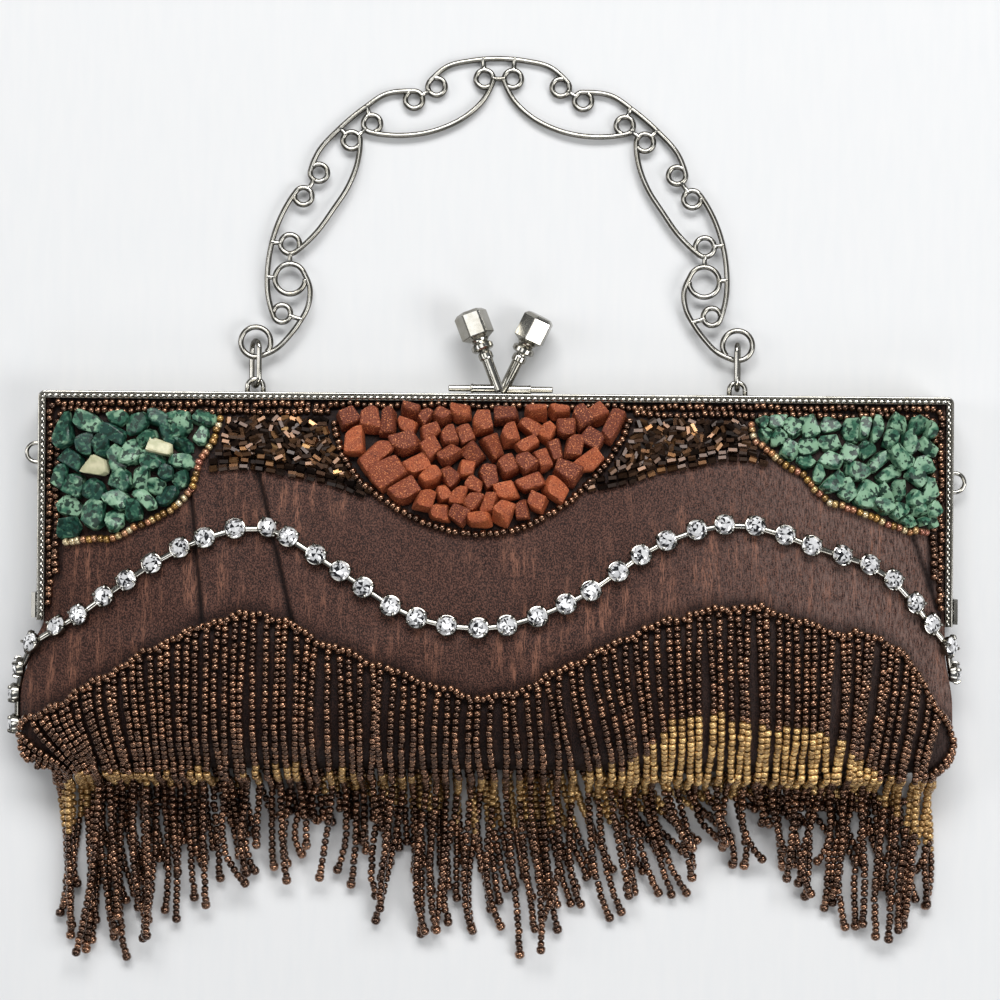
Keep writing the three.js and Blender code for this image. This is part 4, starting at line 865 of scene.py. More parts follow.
def cell_axes(samples, nearest, count):
    """Direction and half lengths of the block that has the spread of each place's samples."""
    angle, long, short = np.zeros((3, count))
    for i in range(count):
        spread, axes = np.linalg.eigh(np.cov(samples[nearest == i].T))
        angle[i] = math.atan2(axes[1, 1], axes[0, 1])
        short[i], long[i] = np.sqrt(3 * spread)
    return angle, long, short


def chip_points(half_sizes, planes, distances, power):
    """Chips as rounded polyhedra. A grid of directions lies on a superquadric with the chip's half
    sizes, and each point is its direction over the power mean of its shares of all the planes'
    distances, so a high power leaves flat faces and tight edges."""
    rise = np.linspace(-np.pi / 2, np.pi / 2, CHIP_ROWS + 2)[1:-1, None]
    turn = np.linspace(-np.pi, np.pi, CHIP_COLUMNS, endpoint=False)[None, :]

    def eased(wave):
        return np.sign(wave) * np.abs(wave) ** CHIP_GRID_POWER

    flat = eased(np.cos(rise))
    grid = np.stack(
        [flat * eased(np.cos(turn)), flat * eased(np.sin(turn)), eased(np.sin(rise)) + 0 * turn], axis=-1
    ).reshape(1, -1, 3)
    directions = grid * half_sizes[:, None, :]
    shares = np.maximum(np.einsum("cmi,cki->cmk", directions, planes), 0) / distances[:, None, :]
    return directions / (np.sum(shares**power, axis=-1) ** (1 / power))[..., None]


def chip_field(places, angle, long, short, blocky, rng):
    """Chips on the front: five steep sides within a block, a tilted top, a flat base, a cut corner."""
    count = len(places)
    highs, lifts, scatter, least_reach, slope, power = CHIP_KINDS["blocky" if blocky else "flat"]
    high = rng.uniform(*highs, count)
    lift = rng.uniform(*lifts, count)
    even = np.arange(CHIP_SIDES) * (np.pi / 2 if blocky else 2 * np.pi / CHIP_SIDES)
    heading = even + rng.normal(0, scatter, (count, CHIP_SIDES))
    heading[:, -1] = np.where(rng.random(count) < 0.6, heading[:, -1] + np.pi / 4, heading[:, -1])
    lean = rng.uniform(0.0, 0.22, (count, CHIP_SIDES))
    reach = np.hypot(long[:, None] * np.cos(heading), short[:, None] * np.sin(heading))
    reach = reach * rng.uniform(least_reach, 1.06, (count, CHIP_SIDES))
    walls = np.stack([np.cos(heading), np.sin(heading), lean], axis=-1)
    tilt = rng.normal(0, slope, (count, 2))
    top = np.column_stack([tilt, np.ones(count)])[:, None]
    base = np.broadcast_to([[[0, 0, -1.0]]], (count, 1, 3))
    cut_turn = rng.uniform(0, 2 * np.pi, count)
    cut_rise = rng.uniform(0.4, 1.2, count)
    cut = np.stack([np.cos(cut_turn), np.sin(cut_turn), cut_rise], axis=-1)[:, None]
    cut_reach = np.hypot(long * np.cos(cut_turn), short * np.sin(cut_turn)) + cut_rise * high
    block = np.broadcast_to([[(1.0, 0, 0), (-1, 0, 0), (0, 1, 0), (0, -1, 0)]], (count, 4, 3))
    planes = np.concatenate([walls, top, base, cut, block], axis=1)
    cut_reach = cut_reach * rng.uniform(0.72, 0.95, count)
    block_reach = 1.12 * np.stack([long, long, short, short], axis=-1)
    distances = np.column_stack([reach, high, high, cut_reach, block_reach])
    half_sizes = np.stack([long, short, high], axis=-1)
    local = chip_points(half_sizes, planes, distances, power)
    normal = unit(front_normal(*places.T) + rng.normal(0, 0.1, (count, 3)) * (1, 1, 0))
    ahead = np.stack([np.cos(angle), np.sin(angle), np.zeros(count)], axis=-1)
    ahead = unit(ahead - normal * np.sum(ahead * normal, axis=-1, keepdims=True))
    axes = np.stack([ahead, np.cross(normal, ahead), normal], axis=1)
    middle = on_front(*places.T, CHIP_LIFT) + normal * (high + lift - 0.4)[:, None]
    return middle[:, None] + np.einsum("cmi,cij->cmj", local, axes)


def repeated(faces, count, stride):
    """The same faces for each of several like pieces, whose points follow one another."""
    return (faces[None] + np.arange(count)[:, None, None] * stride).reshape(-1, faces.shape[1])


def red_stone_look(at):
    """Brick-red stone full of fine glints, each chip lighter or darker, with dull dark pits."""
    speck = noise(at, (0.33, 0.33, 0.33), 3.0)
    cloud = noise(at, (2.2, 2.2, 2.2), 2.0)
    body = mixed(tone_of(at), (0.11, 0.02, 0.008, 1), (0.4, 0.092, 0.03, 1))
    clouded = mixed(between(cloud, 0.35, 0.75) * 0.5, body, (0.15, 0.034, 0.016, 1))
    glinting = mixed(between(speck, 0.55, 0.68), clouded, (0.6, 0.2, 0.07, 1))
    colour = mixed(1 - between(speck, 0.3, 0.43), glinting, (0.07, 0.014, 0.007, 1))
    return {
        "Base Color": colour,
        "Roughness": 0.66 - 0.4 * between(speck, 0.55, 0.72),
        "Normal": bumped(speck + cloud, 0.3, 0.7),
    }


def green_stone_look(at):
    """Moss-green stone with milky patches and black-green spots. A few chips are cream."""
    spot = noise(at, (1.5, 1.5, 1.5), 2.0)
    milk = noise(at, (2.4, 2.4, 2.4), 3.0)
    vein = noise(at, (1.0, 1.0, 1.0), 3.0)
    tone = tone_of(at)
    body = mixed(between(tone, 0.1, 0.8), (0.008, 0.042, 0.032, 1), (0.026, 0.098, 0.06, 1))
    veined = mixed(between(vein, 0.5, 0.62) * 0.6, body, (0.07, 0.19, 0.115, 1))
    milky = mixed(between(milk + tone * 0.34, 0.66, 0.82), veined, (0.21, 0.36, 0.235, 1))
    spotted = mixed(between(spot, 0.52, 0.58) * 0.95, milky, (0.004, 0.02, 0.013, 1))
    cream = mixed(between(milk, 0.3, 0.7), (0.66, 0.62, 0.42, 1), (0.42, 0.42, 0.25, 1))
    colour = mixed(between(tone, 0.93, 0.935), spotted, cream)
    return {
        "Base Color": colour,
        "Roughness": 0.25 + 0.3 * milk,
        "Normal": bumped(milk + spot * 0.6, 0.25, 0.5),
    }


red_stone = finish_of("red_stone", {"Specular IOR Level": 0.35}, red_stone_look)
polished = {"Coat Weight": 0.1, "Specular IOR Level": 0.3}
green_stone = finish_of("green_stone", polished, green_stone_look)
chip_faces = solid(np.zeros((CHIP_ROWS, CHIP_COLUMNS, 3)))[1]
for node, left_end, right_end, top, rope, count, seed, darkest, palest in CHIP_FIELDS:
    blocky = node == "stones_red"
    edge = rope[np.argsort(rope[:, 0])]
    grid_x, grid_y = np.meshgrid(
        np.linspace(left_end, right_end, 160), np.linspace(top, edge[:, 1].min(), 100)
    )
    samples = np.stack([grid_x, grid_y], axis=-1)[grid_y > np.interp(grid_x, *edge.T)]
    to_rope = np.linalg.norm(samples[:, None] - evenly(rope, 1.0), axis=-1).min(axis=1)
    samples = samples[to_rope > ROPE_CLEARANCE]
    places, nearest = settled(samples, count, seed, 4)
    angle, long, short = cell_axes(samples, nearest, count)
    rng = np.random.default_rng(seed)
    tone = darkest + (palest - darkest) * rng.random(count)
    if blocky:
        long, short = long * rng.uniform(0.9, 1.14, count), short * rng.uniform(0.86, 1.06, count)
    else:
        sliver = np.where(tone > 0.96, 0.5, 1.0)
        long = long * rng.uniform(1.0, 1.35, count)
        short = short * rng.uniform(0.85, 1.15, count) * sliver
    points = chip_field(places, angle, long, short, blocky, rng)
    stride = CHIP_ROWS * CHIP_COLUMNS
    faces = [repeated(block, count, stride) for block in chip_faces]
    stone, slot = (red_stone, "red_stone") if blocky else (green_stone, "green_stone")
    tones = np.repeat(tone, stride)
    points = points.reshape(-1, 3)
    chips = add_piece(node + "_chips", points, faces, stone, slot, crisp=32, tone=tones)
    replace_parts(chips, node)


# Seed beads and ropes: size 11 bronze glass beads, couched in two rows inside the frame and in ropes
# round the fields of chips, the green ones in gold and pink lustre beads.

BEAD_RADIUS = 1.0
BEAD_LENGTH = 1.5
# A bead's outline as shares of its length and radius, along its outside and back through the hole
BEAD_OUTLINE = np.array([(-0.5, 0.56), (-0.26, 0.96), (0.26, 0.96), (0.5, 0.56), (0.0, 0.34)])
BEAD_SIDES = 8
# Rows inside the frame: distance in from the frame's outer edge, where the arms' rows end
FRAME_ROWS = [(2.95, -11.5), (4.75, -4.0)]
# Distances from a row's corner at which its arm, its bend and its top start
ROW_ARM_GAP = 3.0
ROW_BEND = 1.6
ROW_TOP_GAP = 4.0
ROW_ARM_POINTS = 30
ROW_TOP_POINTS = 90
ROW_GAP = 0.12


def strung(path, pitch, first=0.5):
    """Places a pitch apart along a path from a first one, and the path's direction there."""
    run = run_of(path)
    at = np.arange(pitch * first, run[-1], pitch)
    places = curve_through(run, path, at)
    return places, unit(curve_through(run, path, at + 0.2) - curve_through(run, path, at - 0.2))


def threaded(outline, sides, places, axes, radius, length, spin=0.0):
    """Pierced beads: an outline turned round each bead's axis, scaled by its radius and length."""
    away = np.where(np.abs(axes[:, 2:]) < 0.9, [[0.0, 0, 1]], [[1.0, 0, 0]])
    first = unit(np.cross(away, axes))
    second = np.cross(axes, first)
    angle = np.linspace(0, 2 * np.pi, sides, endpoint=False)[None, :, None]
    angle = angle + np.reshape(np.broadcast_to(spin, len(places)), (-1, 1, 1))
    ring = first[:, None] * np.cos(angle) + second[:, None] * np.sin(angle)
    along = np.multiply.outer(np.broadcast_to(length, len(places)), outline[:, 0])
    out = np.multiply.outer(np.broadcast_to(radius, len(places)), outline[:, 1])
    spot = places[:, None, None] + along[:, :, None, None] * axes[:, None, None]
    return spot + out[:, :, None, None] * ring[:, None]


def add_beads(name, points, material, slot, tone, crisp=None):
    """Beads as one piece, each with its own tone."""
    count, rows, sides = points.shape[:3]
    faces = repeated(grid_faces(rows, sides, True, True), count, rows * sides)
    tones = np.repeat(tone, rows * sides)
    return add_piece(name, points.reshape(-1, 3), [faces], material, slot, crisp=crisp, tone=tones)


def bead_ropes(paths, pitch, rng):
    """Seed beads along paths over the front, each a little off the line and out of true."""
    strings = [strung(path, pitch) for path in paths]
    places = np.concatenate([place for place, _ in strings])
    places = places + rng.normal(0, 0.12, places.shape)
    axes = unit(np.concatenate([axis for _, axis in strings]) + rng.normal(0, 0.14, places.shape))
    radius = BEAD_RADIUS * rng.uniform(0.88, 1.04, len(places))
    return threaded(BEAD_OUTLINE, BEAD_SIDES, places, axes, radius, BEAD_LENGTH)


def bronze_look(at):
    """Bronze lustre on black glass, from dark brown to copper."""
    film = noise(at, (0.8, 0.8, 0.8), 1.0)
    return {
        "Base Color": mixed(tone_of(at), (0.08, 0.039, 0.022, 1), (0.3, 0.153, 0.086, 1)),
        "Roughness": 0.03 + 0.08 * film,
    }


def lustre_look(at):
    """Gold, rose and pale lustre over clear glass, bead by bead."""
    stops = [
        (0.0, (0.14, 0.07, 0.02, 1)), (0.35, (0.45, 0.25, 0.06, 1)), (0.6, (0.4, 0.15, 0.1, 1)),
        (0.85, (0.5, 0.33, 0.13, 1)), (1.0, (0.7, 0.6, 0.4, 1)),
    ]
    film = noise(at, (0.8, 0.8, 0.8), 1.0)
    colour = at.node("ShaderNodeValToRGB", {"stops": stops}, {"Fac": tone_of(at)})
    return {"Base Color": colour, "Roughness": 0.14 + 0.14 * film}


glassy = {"Metallic": 0.9, "Coat Weight": 0.3, "Coat Roughness": 0.06}
bronze = finish_of("bronze_beads", glassy | {"Coat Weight": 0.5}, bronze_look)
lustre = finish_of("lustre_beads", glassy | {"Metallic": 0.6, "Coat Weight": 0.6}, lustre_look)
rng = np.random.default_rng(5)
rows = []
for inset, arm_end in FRAME_ROWS:
    wide, high = FRAME_HALF_WIDTH - inset, FRAME_TOP - inset
    corner = np.array([(-wide, high - ROW_BEND), (-wide + 0.5, high - 0.5), (-wide + ROW_BEND, high)])
    arm_y = np.linspace(arm_end, high - ROW_ARM_GAP, ROW_ARM_POINTS)
    arm = np.column_stack([np.full(ROW_ARM_POINTS, -wide), arm_y])
    arm[:, 0] += 0.2 * np.sin(0.4 * arm[:, 1] + inset)
    top_x = np.linspace(-wide + ROW_TOP_GAP, wide - ROW_TOP_GAP, ROW_TOP_POINTS)
    top = np.column_stack([top_x, np.full(ROW_TOP_POINTS, high)])
    top[:, 1] += 0.22 * np.sin(0.33 * top[:, 0] + 2 * inset) + 0.12 * np.sin(0.8 * top[:, 0])
    flat = np.vstack([arm, corner, top, corner[::-1] * (-1, 1), arm[::-1] * (-1, 1)])
    rows.append(on_front(*flat.T, BEAD_RADIUS * 0.9))
inner = rows.pop()
red_start, red_end = ROPE_RED[0, 0], ROPE_RED[-1, 0]
rows += [inner[inner[:, 0] < red_start], inner[inner[:, 0] > red_end]]
rows.append(on_front(*evenly(ROPE_RED, 1.0).T, BEAD_RADIUS))
points = bead_ropes(rows, BEAD_LENGTH + ROW_GAP, rng)
add_beads("seed_rows", points, bronze, "bronze_beads", rng.random(len(points)))
green_ropes = (ROPE_GREEN_LEFT, ROPE_GREEN_RIGHT)
ropes = [on_front(*evenly(rope, 1.0).T, BEAD_RADIUS) for rope in green_ropes]
points = bead_ropes(ropes, BEAD_LENGTH, rng)
add_beads("lustre_ropes", points, lustre, "gold_beads", rng.random(len(points)))


# Bugle beads: short six-sided cut tubes in bronze lustre, sewn close together between the fields of
# chips: two lines end to end along the lower border, and above them more and more every way.

BUGLE_RADIUS = 0.82
BUGLE_LENGTH = 2.3
BUGLE_OUTLINE = np.array([(-0.5, 0.74), (-0.46, 1.0), (0.46, 1.0), (0.5, 0.74), (0.0, 0.4)])
BUGLE_SIDES = 6
BUGLE_LINES = (0.0, 1.6)
# Height over the border from which the tubes are loose, and over which they turn every way
LOOSE_FROM = BUGLE_LINES[-1] + 0.9
LOOSE_RUN = 9.0
BUGLE_GAP = 0.15
BUGLE_GRID = 120
# Fields: outline, lower border, number of loose tubes, seed
BUGLE_FIELDS = [
    (
        [
            (-63.6, 33.6), (-40.2, 33.8), (-39.4, 28.3), (-36.4, 22.6), (-32.0, 17.2), (-29.0, 14.9),
            (-35.2, 16.9), (-43.2, 19.2), (-51.1, 20.6), (-59.1, 21.7), (-67.5, 22.2), (-65.6, 26.7),
            (-63.8, 31.0),
        ],
        BORDER_LEFT, 150, 3,
    ),
    (
        [
            (33.4, 33.8), (58.8, 33.8), (59.6, 28.4), (62.2, 25.8), (65.0, 23.2), (58.7, 24.5),
            (53.9, 24.5), (47.1, 23.0), (39.5, 21.8), (31.9, 19.1), (23.6, 17.8), (27.0, 22.0),
            (30.0, 26.0), (32.8, 30.6),
        ],
        BORDER_RIGHT, 145, 4,
    ),
]


def within(points, outline):
    """Whether points lie inside an outline: a line to the right of each crosses it an odd number of
    times."""
    crossings = np.zeros(len(points), bool)
    for (ax, ay), (bx, by) in zip(outline, outline[1:] + outline[:1]):
        level = (ay > points[:, 1]) != (by > points[:, 1])
        cross_x = ax + (points[:, 1] - ay) * (bx - ax) / (by - ay if by != ay else 1)
        crossings ^= level & (points[:, 0] < cross_x)
    return crossings


def bugle_look(at):
    """Bronze, brown and old gold lustre, tube by tube."""
    stops = [
        (0.0, (0.01, 0.005, 0.003, 1)), (0.5, (0.034, 0.0165, 0.0085, 1)), (0.85, (0.1, 0.048, 0.021, 1)),
        (0.95, (0.32, 0.16, 0.066, 1)), (1.0, (0.5, 0.3, 0.13, 1)),
    ]
    film = noise(at, (1.2, 1.2, 1.2), 1.0)
    colour = at.node("ShaderNodeValToRGB", {"stops": stops}, {"Fac": tone_of(at)})
    return {"Base Color": colour, "Roughness": 0.18 + 0.2 * film}


bugle_glass = finish_of("bugle_beads", glassy, bugle_look)
places, axes = [], []
for outline, border, count, seed in BUGLE_FIELDS:
    rng = np.random.default_rng(seed)
    low, high = np.min(outline, axis=0), np.max(outline, axis=0)
    steps = np.linspace(0, 1, BUGLE_GRID)
    shares = np.stack(np.meshgrid(steps, steps), axis=-1).reshape(-1, 2)
    samples = low + (high - low) * shares
    above = samples[:, 1] - np.interp(samples[:, 0], *border.T)
    free = within(samples, outline) & (above > LOOSE_FROM)
    spots, _ = settled(samples[free], count, seed, 6)
    above = spots[:, 1] - np.interp(spots[:, 0], *border.T)
    slope = np.interp(spots[:, 0] + 1, *border.T) - np.interp(spots[:, 0] - 1, *border.T)
    loose = 0.2 + 0.8 * smooth_step(above / LOOSE_RUN)
    heading = np.arctan(slope / 2) + rng.normal(0, 1, count) * loose
    places.append(on_front(*spots.T, BUGLE_RADIUS * rng.uniform(0.9, 1.9, count)))
    flat = np.stack([np.cos(heading), np.sin(heading), rng.normal(0, 0.1, count)], axis=-1)
    normal = front_normal(*spots.T)
    axes.append(unit(flat - normal * np.sum(flat * normal, axis=-1, keepdims=True) * 0.9))
    for rise in BUGLE_LINES:
        path = on_front(*evenly(border + (0, rise), 1.0).T, BUGLE_RADIUS * 1.1)
        line, directions = strung(path, BUGLE_LENGTH + BUGLE_GAP)
        places.append(line + rng.normal(0, 0.1, line.shape))
        axes.append(unit(directions + rng.normal(0, 0.08, directions.shape)))
places, axes = np.concatenate(places), np.concatenate(axes)
rng = np.random.default_rng(8)
length = BUGLE_LENGTH * rng.uniform(0.78, 1.02, len(places))
spin = rng.uniform(0, 1, len(places))
points = threaded(BUGLE_OUTLINE, BUGLE_SIDES, places, axes, BUGLE_RADIUS, length, spin)
add_beads("bugle_fields", points, bugle_glass, "bronze_beads", rng.random(len(places)), crisp=30)


# Cup chain: foil-backed round stones, each held by four prongs in a silvered brass cup, the cups
# joined by short bars. It is couched over the front in two waves and down both sides.

CUP_PITCH = 7.1
CHAIN_LIFT = 0.5
# Where the chain goes down the sides: side, y, level from the back edge, 0, to the front edge, 1
CHAIN_SIDES = [
    (-1, -40.0, 0.5), (-1, -33.5, 0.5), (-1, -27.5, 0.6), (-1, -22.5, 1.2),
    (1, -21.0, 1.05), (1, -26.0, 0.6),
]
# A cup's outline as height and radius, and the prongs' line as radius and height
CUP = [(0.0, 1.9), (0.1, 2.2), (0.9, 2.42), (1.6, 2.5), (1.75, 2.46), (1.8, 2.3), (1.6, 2.1)]
PRONG_PATH = np.array([(2.5, 1.1), (2.52, 1.9), (2.3, 2.35), (1.85, 2.55)])
PRONG_WIRE = np.array([0.4, 0.42, 0.4, 0.28])
CUP_SIDES = 20
PRONGS = 4
BAR_WIRE = 0.8
BAR_LIFT = 0.55
# Level above which the cups at the sides begin to face up
FACING_UP_FROM = 9.6
# The stone from below to its table: height, radius, corners' turn in steps
STONE = [(1.0, 1.4, 0.0), (1.6, 2.3, 0.0), (1.75, 2.3, 0.0), (2.35, 1.75, 0.5), (2.75, 1.15, 0.0)]
STONE_SIDES = 12


def chain_run():
    """The chain's line: along the front by its y at each share of the half width, and down the sides
    at their levels, with the outward direction at each cup."""
    share = np.linspace(-0.97, 0.97, 101)
    y = curve_through(FRONT_LINES[:, 0], FRONT_LINES[:, 1], share)[:, 0]
    left, right, _, _, ledge, _, _, _ = pouch_section(y)
    front = on_front(share * (np.where(share < 0, left, right) - ledge), y, CHAIN_LIFT)
    side, side_y, level = np.array(CHAIN_SIDES).T
    left, right, front_edge, back_edge, _, _, _, _ = pouch_section(side_y)
    reach = np.where(side < 0, left, right) + CHAIN_LIFT
    down = np.stack([side * reach, side_y, back_edge + (front_edge - back_edge) * level], axis=-1)
    path = np.vstack([down[side < 0], front, down[side > 0]])
    run = run_of(path)
    at = np.linspace(0, run[-1], round(run[-1] / CUP_PITCH) + 1)
    at = at + 0.35 * np.sin(2.3 * np.arange(len(at)))
    places = curve_through(run, path, at)
    ahead = unit(np.gradient(places, axis=0))
    left, right = pouch_section(places[:, 1])[:2]
    beyond = np.abs(places[:, 0]) - np.where(places[:, 0] < 0, left, right)
    rising = np.clip(places[:, 2] - FACING_UP_FROM, 0, 1)
    outward = np.stack([np.sign(places[:, 0]), np.zeros(len(at)), rising], axis=-1)
    over = front_normal(places[:, 0], places[:, 1])
    return places, ahead, unit(np.where(beyond[:, None] < -CHAIN_LIFT, over, outward))


def set_at(points, places, ahead, outward):
    """Copies of points, given ahead, across and outwards, at each place along the chain."""
    across = unit(np.cross(outward, ahead))
    axes = np.stack([np.cross(across, outward), across, outward], axis=1)
    return places[:, None] + np.einsum("mi,cij->cmj", points.reshape(-1, 3), axes)


def stone_rings():
    """Rings of a cut stone. The upper girdle is turned by half a step, so its facets are triangles."""
    high, radius, turn = np.array(STONE).T[:, :, None]
    angle = (np.arange(STONE_SIDES) + turn) * 2 * np.pi / STONE_SIDES
    flat = np.broadcast_to(high, angle.shape)
    return np.stack([radius * np.cos(angle), radius * np.sin(angle), flat], axis=-1)


def crystal_look(at):
    """Foil behind clear cut glass, with painted reflections: each facet is painted bright, grey
    or dark.
    """
    stops = [
        (0.0, (0.006, 0.006, 0.008, 1)), (0.3, (0.03, 0.03, 0.035, 1)), (0.4, (0.72, 0.72, 0.74, 1)),
        (1.0, (0.98, 0.98, 0.98, 1)),
    ]
    fleck = noise(at, (0.9, 0.9, 0.9), 2.0)
    # Painted reflections: the facet's tone, with flecks.
    shade = tone_of(at) * 0.75 + fleck * 0.4 - 0.06
    colour = at.node("ShaderNodeValToRGB", {"stops": stops}, {"Fac": shade})
    return {"Base Color": colour, "Roughness": 0.04 + 0.05 * fleck}


foiled = {"Metallic": 0.35, "Coat Weight": 1.0, "Coat Roughness": 0.03}
crystal = finish_of("crystal", foiled, crystal_look)
places, ahead, outward = chain_run()
count = len(places)
cup_rings = turned(CUP, CUP_SIDES)[..., [2, 0, 1]]
prong_path = np.column_stack([PRONG_PATH[:, 0], np.zeros(len(PRONG_PATH)), PRONG_PATH[:, 1]])
prong_rings = wire(prong_path, PRONG_WIRE, np.array((0.0, 1.0, 0.0)), sides=6)
cup_solids = [solid(cup_rings)]
for quarter in range(PRONGS):
    turn = math.radians(45 + 90 * quarter)
    cos, sin = math.cos(turn), math.sin(turn)
    swing = np.array([[cos, sin, 0], [-sin, cos, 0], [0, 0, 1]])
    cup_solids.append(solid(prong_rings @ swing))
cup_points, cup_faces = joined(cup_solids)
cup_blocks = [repeated(block, count, len(cup_points)) for block in cup_faces]
cups = [(set_at(cup_points, places, ahead, outward).reshape(-1, 3), cup_blocks)]
bar_lift = (BAR_LIFT * (outward[:-1] + outward[1:]))[:, None] / 2
bars = np.linspace(places[:-1], places[1:], 4, axis=1) + bar_lift
for bar, plane in zip(bars, unit(np.cross(bars[:, -1] - bars[:, 0], outward[:-1]))):
    cups.append(solid(wire(bar, BAR_WIRE, plane, sides=8)))
chain = add_piece("cup_chain", *joined(cups), nickel, "silver_metal", crisp=50)
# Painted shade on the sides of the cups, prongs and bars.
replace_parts(with_painted_shade(chain), "rhinestone_chain")

rings = stone_rings()
points, (quads, ends) = solid(rings)
halves = np.concatenate([quads[:, [0, 1, 2]], quads[:, [0, 2, 3]]])
table = ends[1]
fan = np.stack([np.full(STONE_SIDES, len(points)), table, np.roll(table, -1)], axis=-1)
points = np.vstack([points, [[0, 0, STONE[-1][0] + 0.02]]])
facets = np.concatenate([halves, fan])
faces = [repeated(facets, count, len(points)), repeated(ends[:1], count, len(points))]
rng = np.random.default_rng(17)
# Each facet's tone is a painted reflection: bright, grey or dark at random.
tone = rng.beta(0.55, 0.45, len(faces[0]) + len(faces[1]))
stone_points = set_at(points, places, ahead, outward).reshape(-1, 3)
stones = add_piece("chain_stones", stone_points, faces, crystal, "crystal", crisp=0, tone=tone)
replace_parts(stones, "rhinestone_chain")


# Fringe: strands of seed beads, bronze with a band of amber gold, each ending in a larger bead. Most
# hang from a beaded heading, fall over the belly and lie spread on the table, across shorter ones
# that hang from the bottom seam.

FRINGE_STRANDS = 96
SEAM_STRANDS = 90
FRINGE_PITCH = 1.54
STRAND_LIFT = 1.15
STRAND_FLOOR = 1.08
STRAND_GAP = 2.0
HEAD_SPAN = (-110.0, 106.8)
HEADING_LIFT = BEAD_RADIUS + 0.6
HEADING_PITCH = 1.62
FRINGE_BEAD = 0.93
# Size of a strand's last bead by that of the others, and its least level
END_BEAD = 1.3
END_BEAD_FLOOR = 1.3
MOST_LAYERS = 6
BOTTOM_EDGE = -52.0
BELLY_END = -47.6
# From the belly's end to the table, y and level, for strands of the heading and of the seam
DROP = np.array([(-50.4, 17.0), (-53.0, 8.0), (-55.6, 2.6), (-59.5, STRAND_FLOOR)])
SEAM_DROP = np.array([(-49.4, 3.4), (-50.6, 2.6), (-52.4, 1.6), (-55.0, STRAND_FLOOR)])
SEAM_LYING_FROM = -58.0
FLOOR_POINTS = 6
SEAM_HALF_WIDTH = 98.0
# Where the heading goes on down the left and right side
HEADING_LEFT = np.array([(-110.2, -48.8), (-111.9, -46.8), (-112.5, -44.2), (-112.6, -41.2)])
HEADING_RIGHT = np.array([(109.4, -41.6), (109.3, -44.2), (108.6, -46.6), (106.8, -48.6)])
# Where the strands of the left and right side are counted from along the heading, and their pitch
SIDES_FROM = (-118.8, 109.0)
SIDE_PITCH = 2.2
# Between these places along the heading this share of the strands has no gold: its end is put
# this far above its start
PLAIN_SPAN = (-104.0, 16.0)
PLAIN_SHARE = 0.45
PLAIN_END = 4.0
# Gold of the seam's strands: where it ends, how much lower about a middle, that middle, its reach
SEAM_GOLD = (-54.0, 11.0, 5.0, 32.0)
# Where the gold is bright: middle, half width, run over which it dulls
BRIGHT_GOLD = (56.0, 32.0, 12.0)
# Courses by place along the heading, x or beyond its ends a pitch a strand: x over the bag's
# bottom edge, x and y of the tip, y where gold starts and ends
COURSES = np.array([
    (-118.8, -104.6, -104.0, -82.0, -57.0, -67.0),
    (-110.0, -99.6, -100.0, -93.0, -51.5, -63.0),
    (-98.0, -93.0, -92.0, -93.0, -50.8, -54.0),
    (-84.0, -82.0, -83.0, -88.0, -50.6, -54.0),
    (-66.0, -66.0, -63.0, -80.0, -49.4, -53.0),
    (-50.0, -50.5, -50.0, -73.0, -48.4, -53.0),
    (-34.0, -34.0, -35.0, -78.0, -49.4, -54.0),
    (-15.0, -15.5, -19.0, -88.0, -50.8, -55.0),
    (0.0, 0.5, 1.0, -92.0, -50.8, -58.0),
    (10.0, 12.0, 16.0, -91.0, -50.0, -59.0),
    (20.0, 25.0, 31.0, -85.0, -48.5, -56.0),
    (32.0, 35.5, 42.0, -78.6, -45.5, -54.0),
    (40.0, 41.5, 48.5, -75.0, -37.6, -53.5),
    (64.0, 64.5, 67.0, -71.0, -38.0, -53.0),
    (80.0, 79.0, 78.0, -81.0, -40.0, -53.0),
    (94.0, 91.0, 89.5, -90.0, -50.0, -54.0),
    (106.8, 103.0, 100.5, -86.0, -52.0, -66.0),
    (115.6, 105.4, 103.5, -82.0, -53.0, -68.0),
])


def layered(tips, below):
    """Layer in which each tip lies, going from left to right: the lowest that no tip below it and none
    before it takes up."""
    free_from = np.full(MOST_LAYERS, -np.inf)
    layer = np.zeros(len(tips), int)
    for i in np.argsort(tips):
        room = free_from <= tips[i]
        room[0] &= np.abs(below - tips[i]).min() > STRAND_GAP
        layer[i] = np.argmax(room)
        free_from[layer[i]] = tips[i] + STRAND_GAP
    return layer


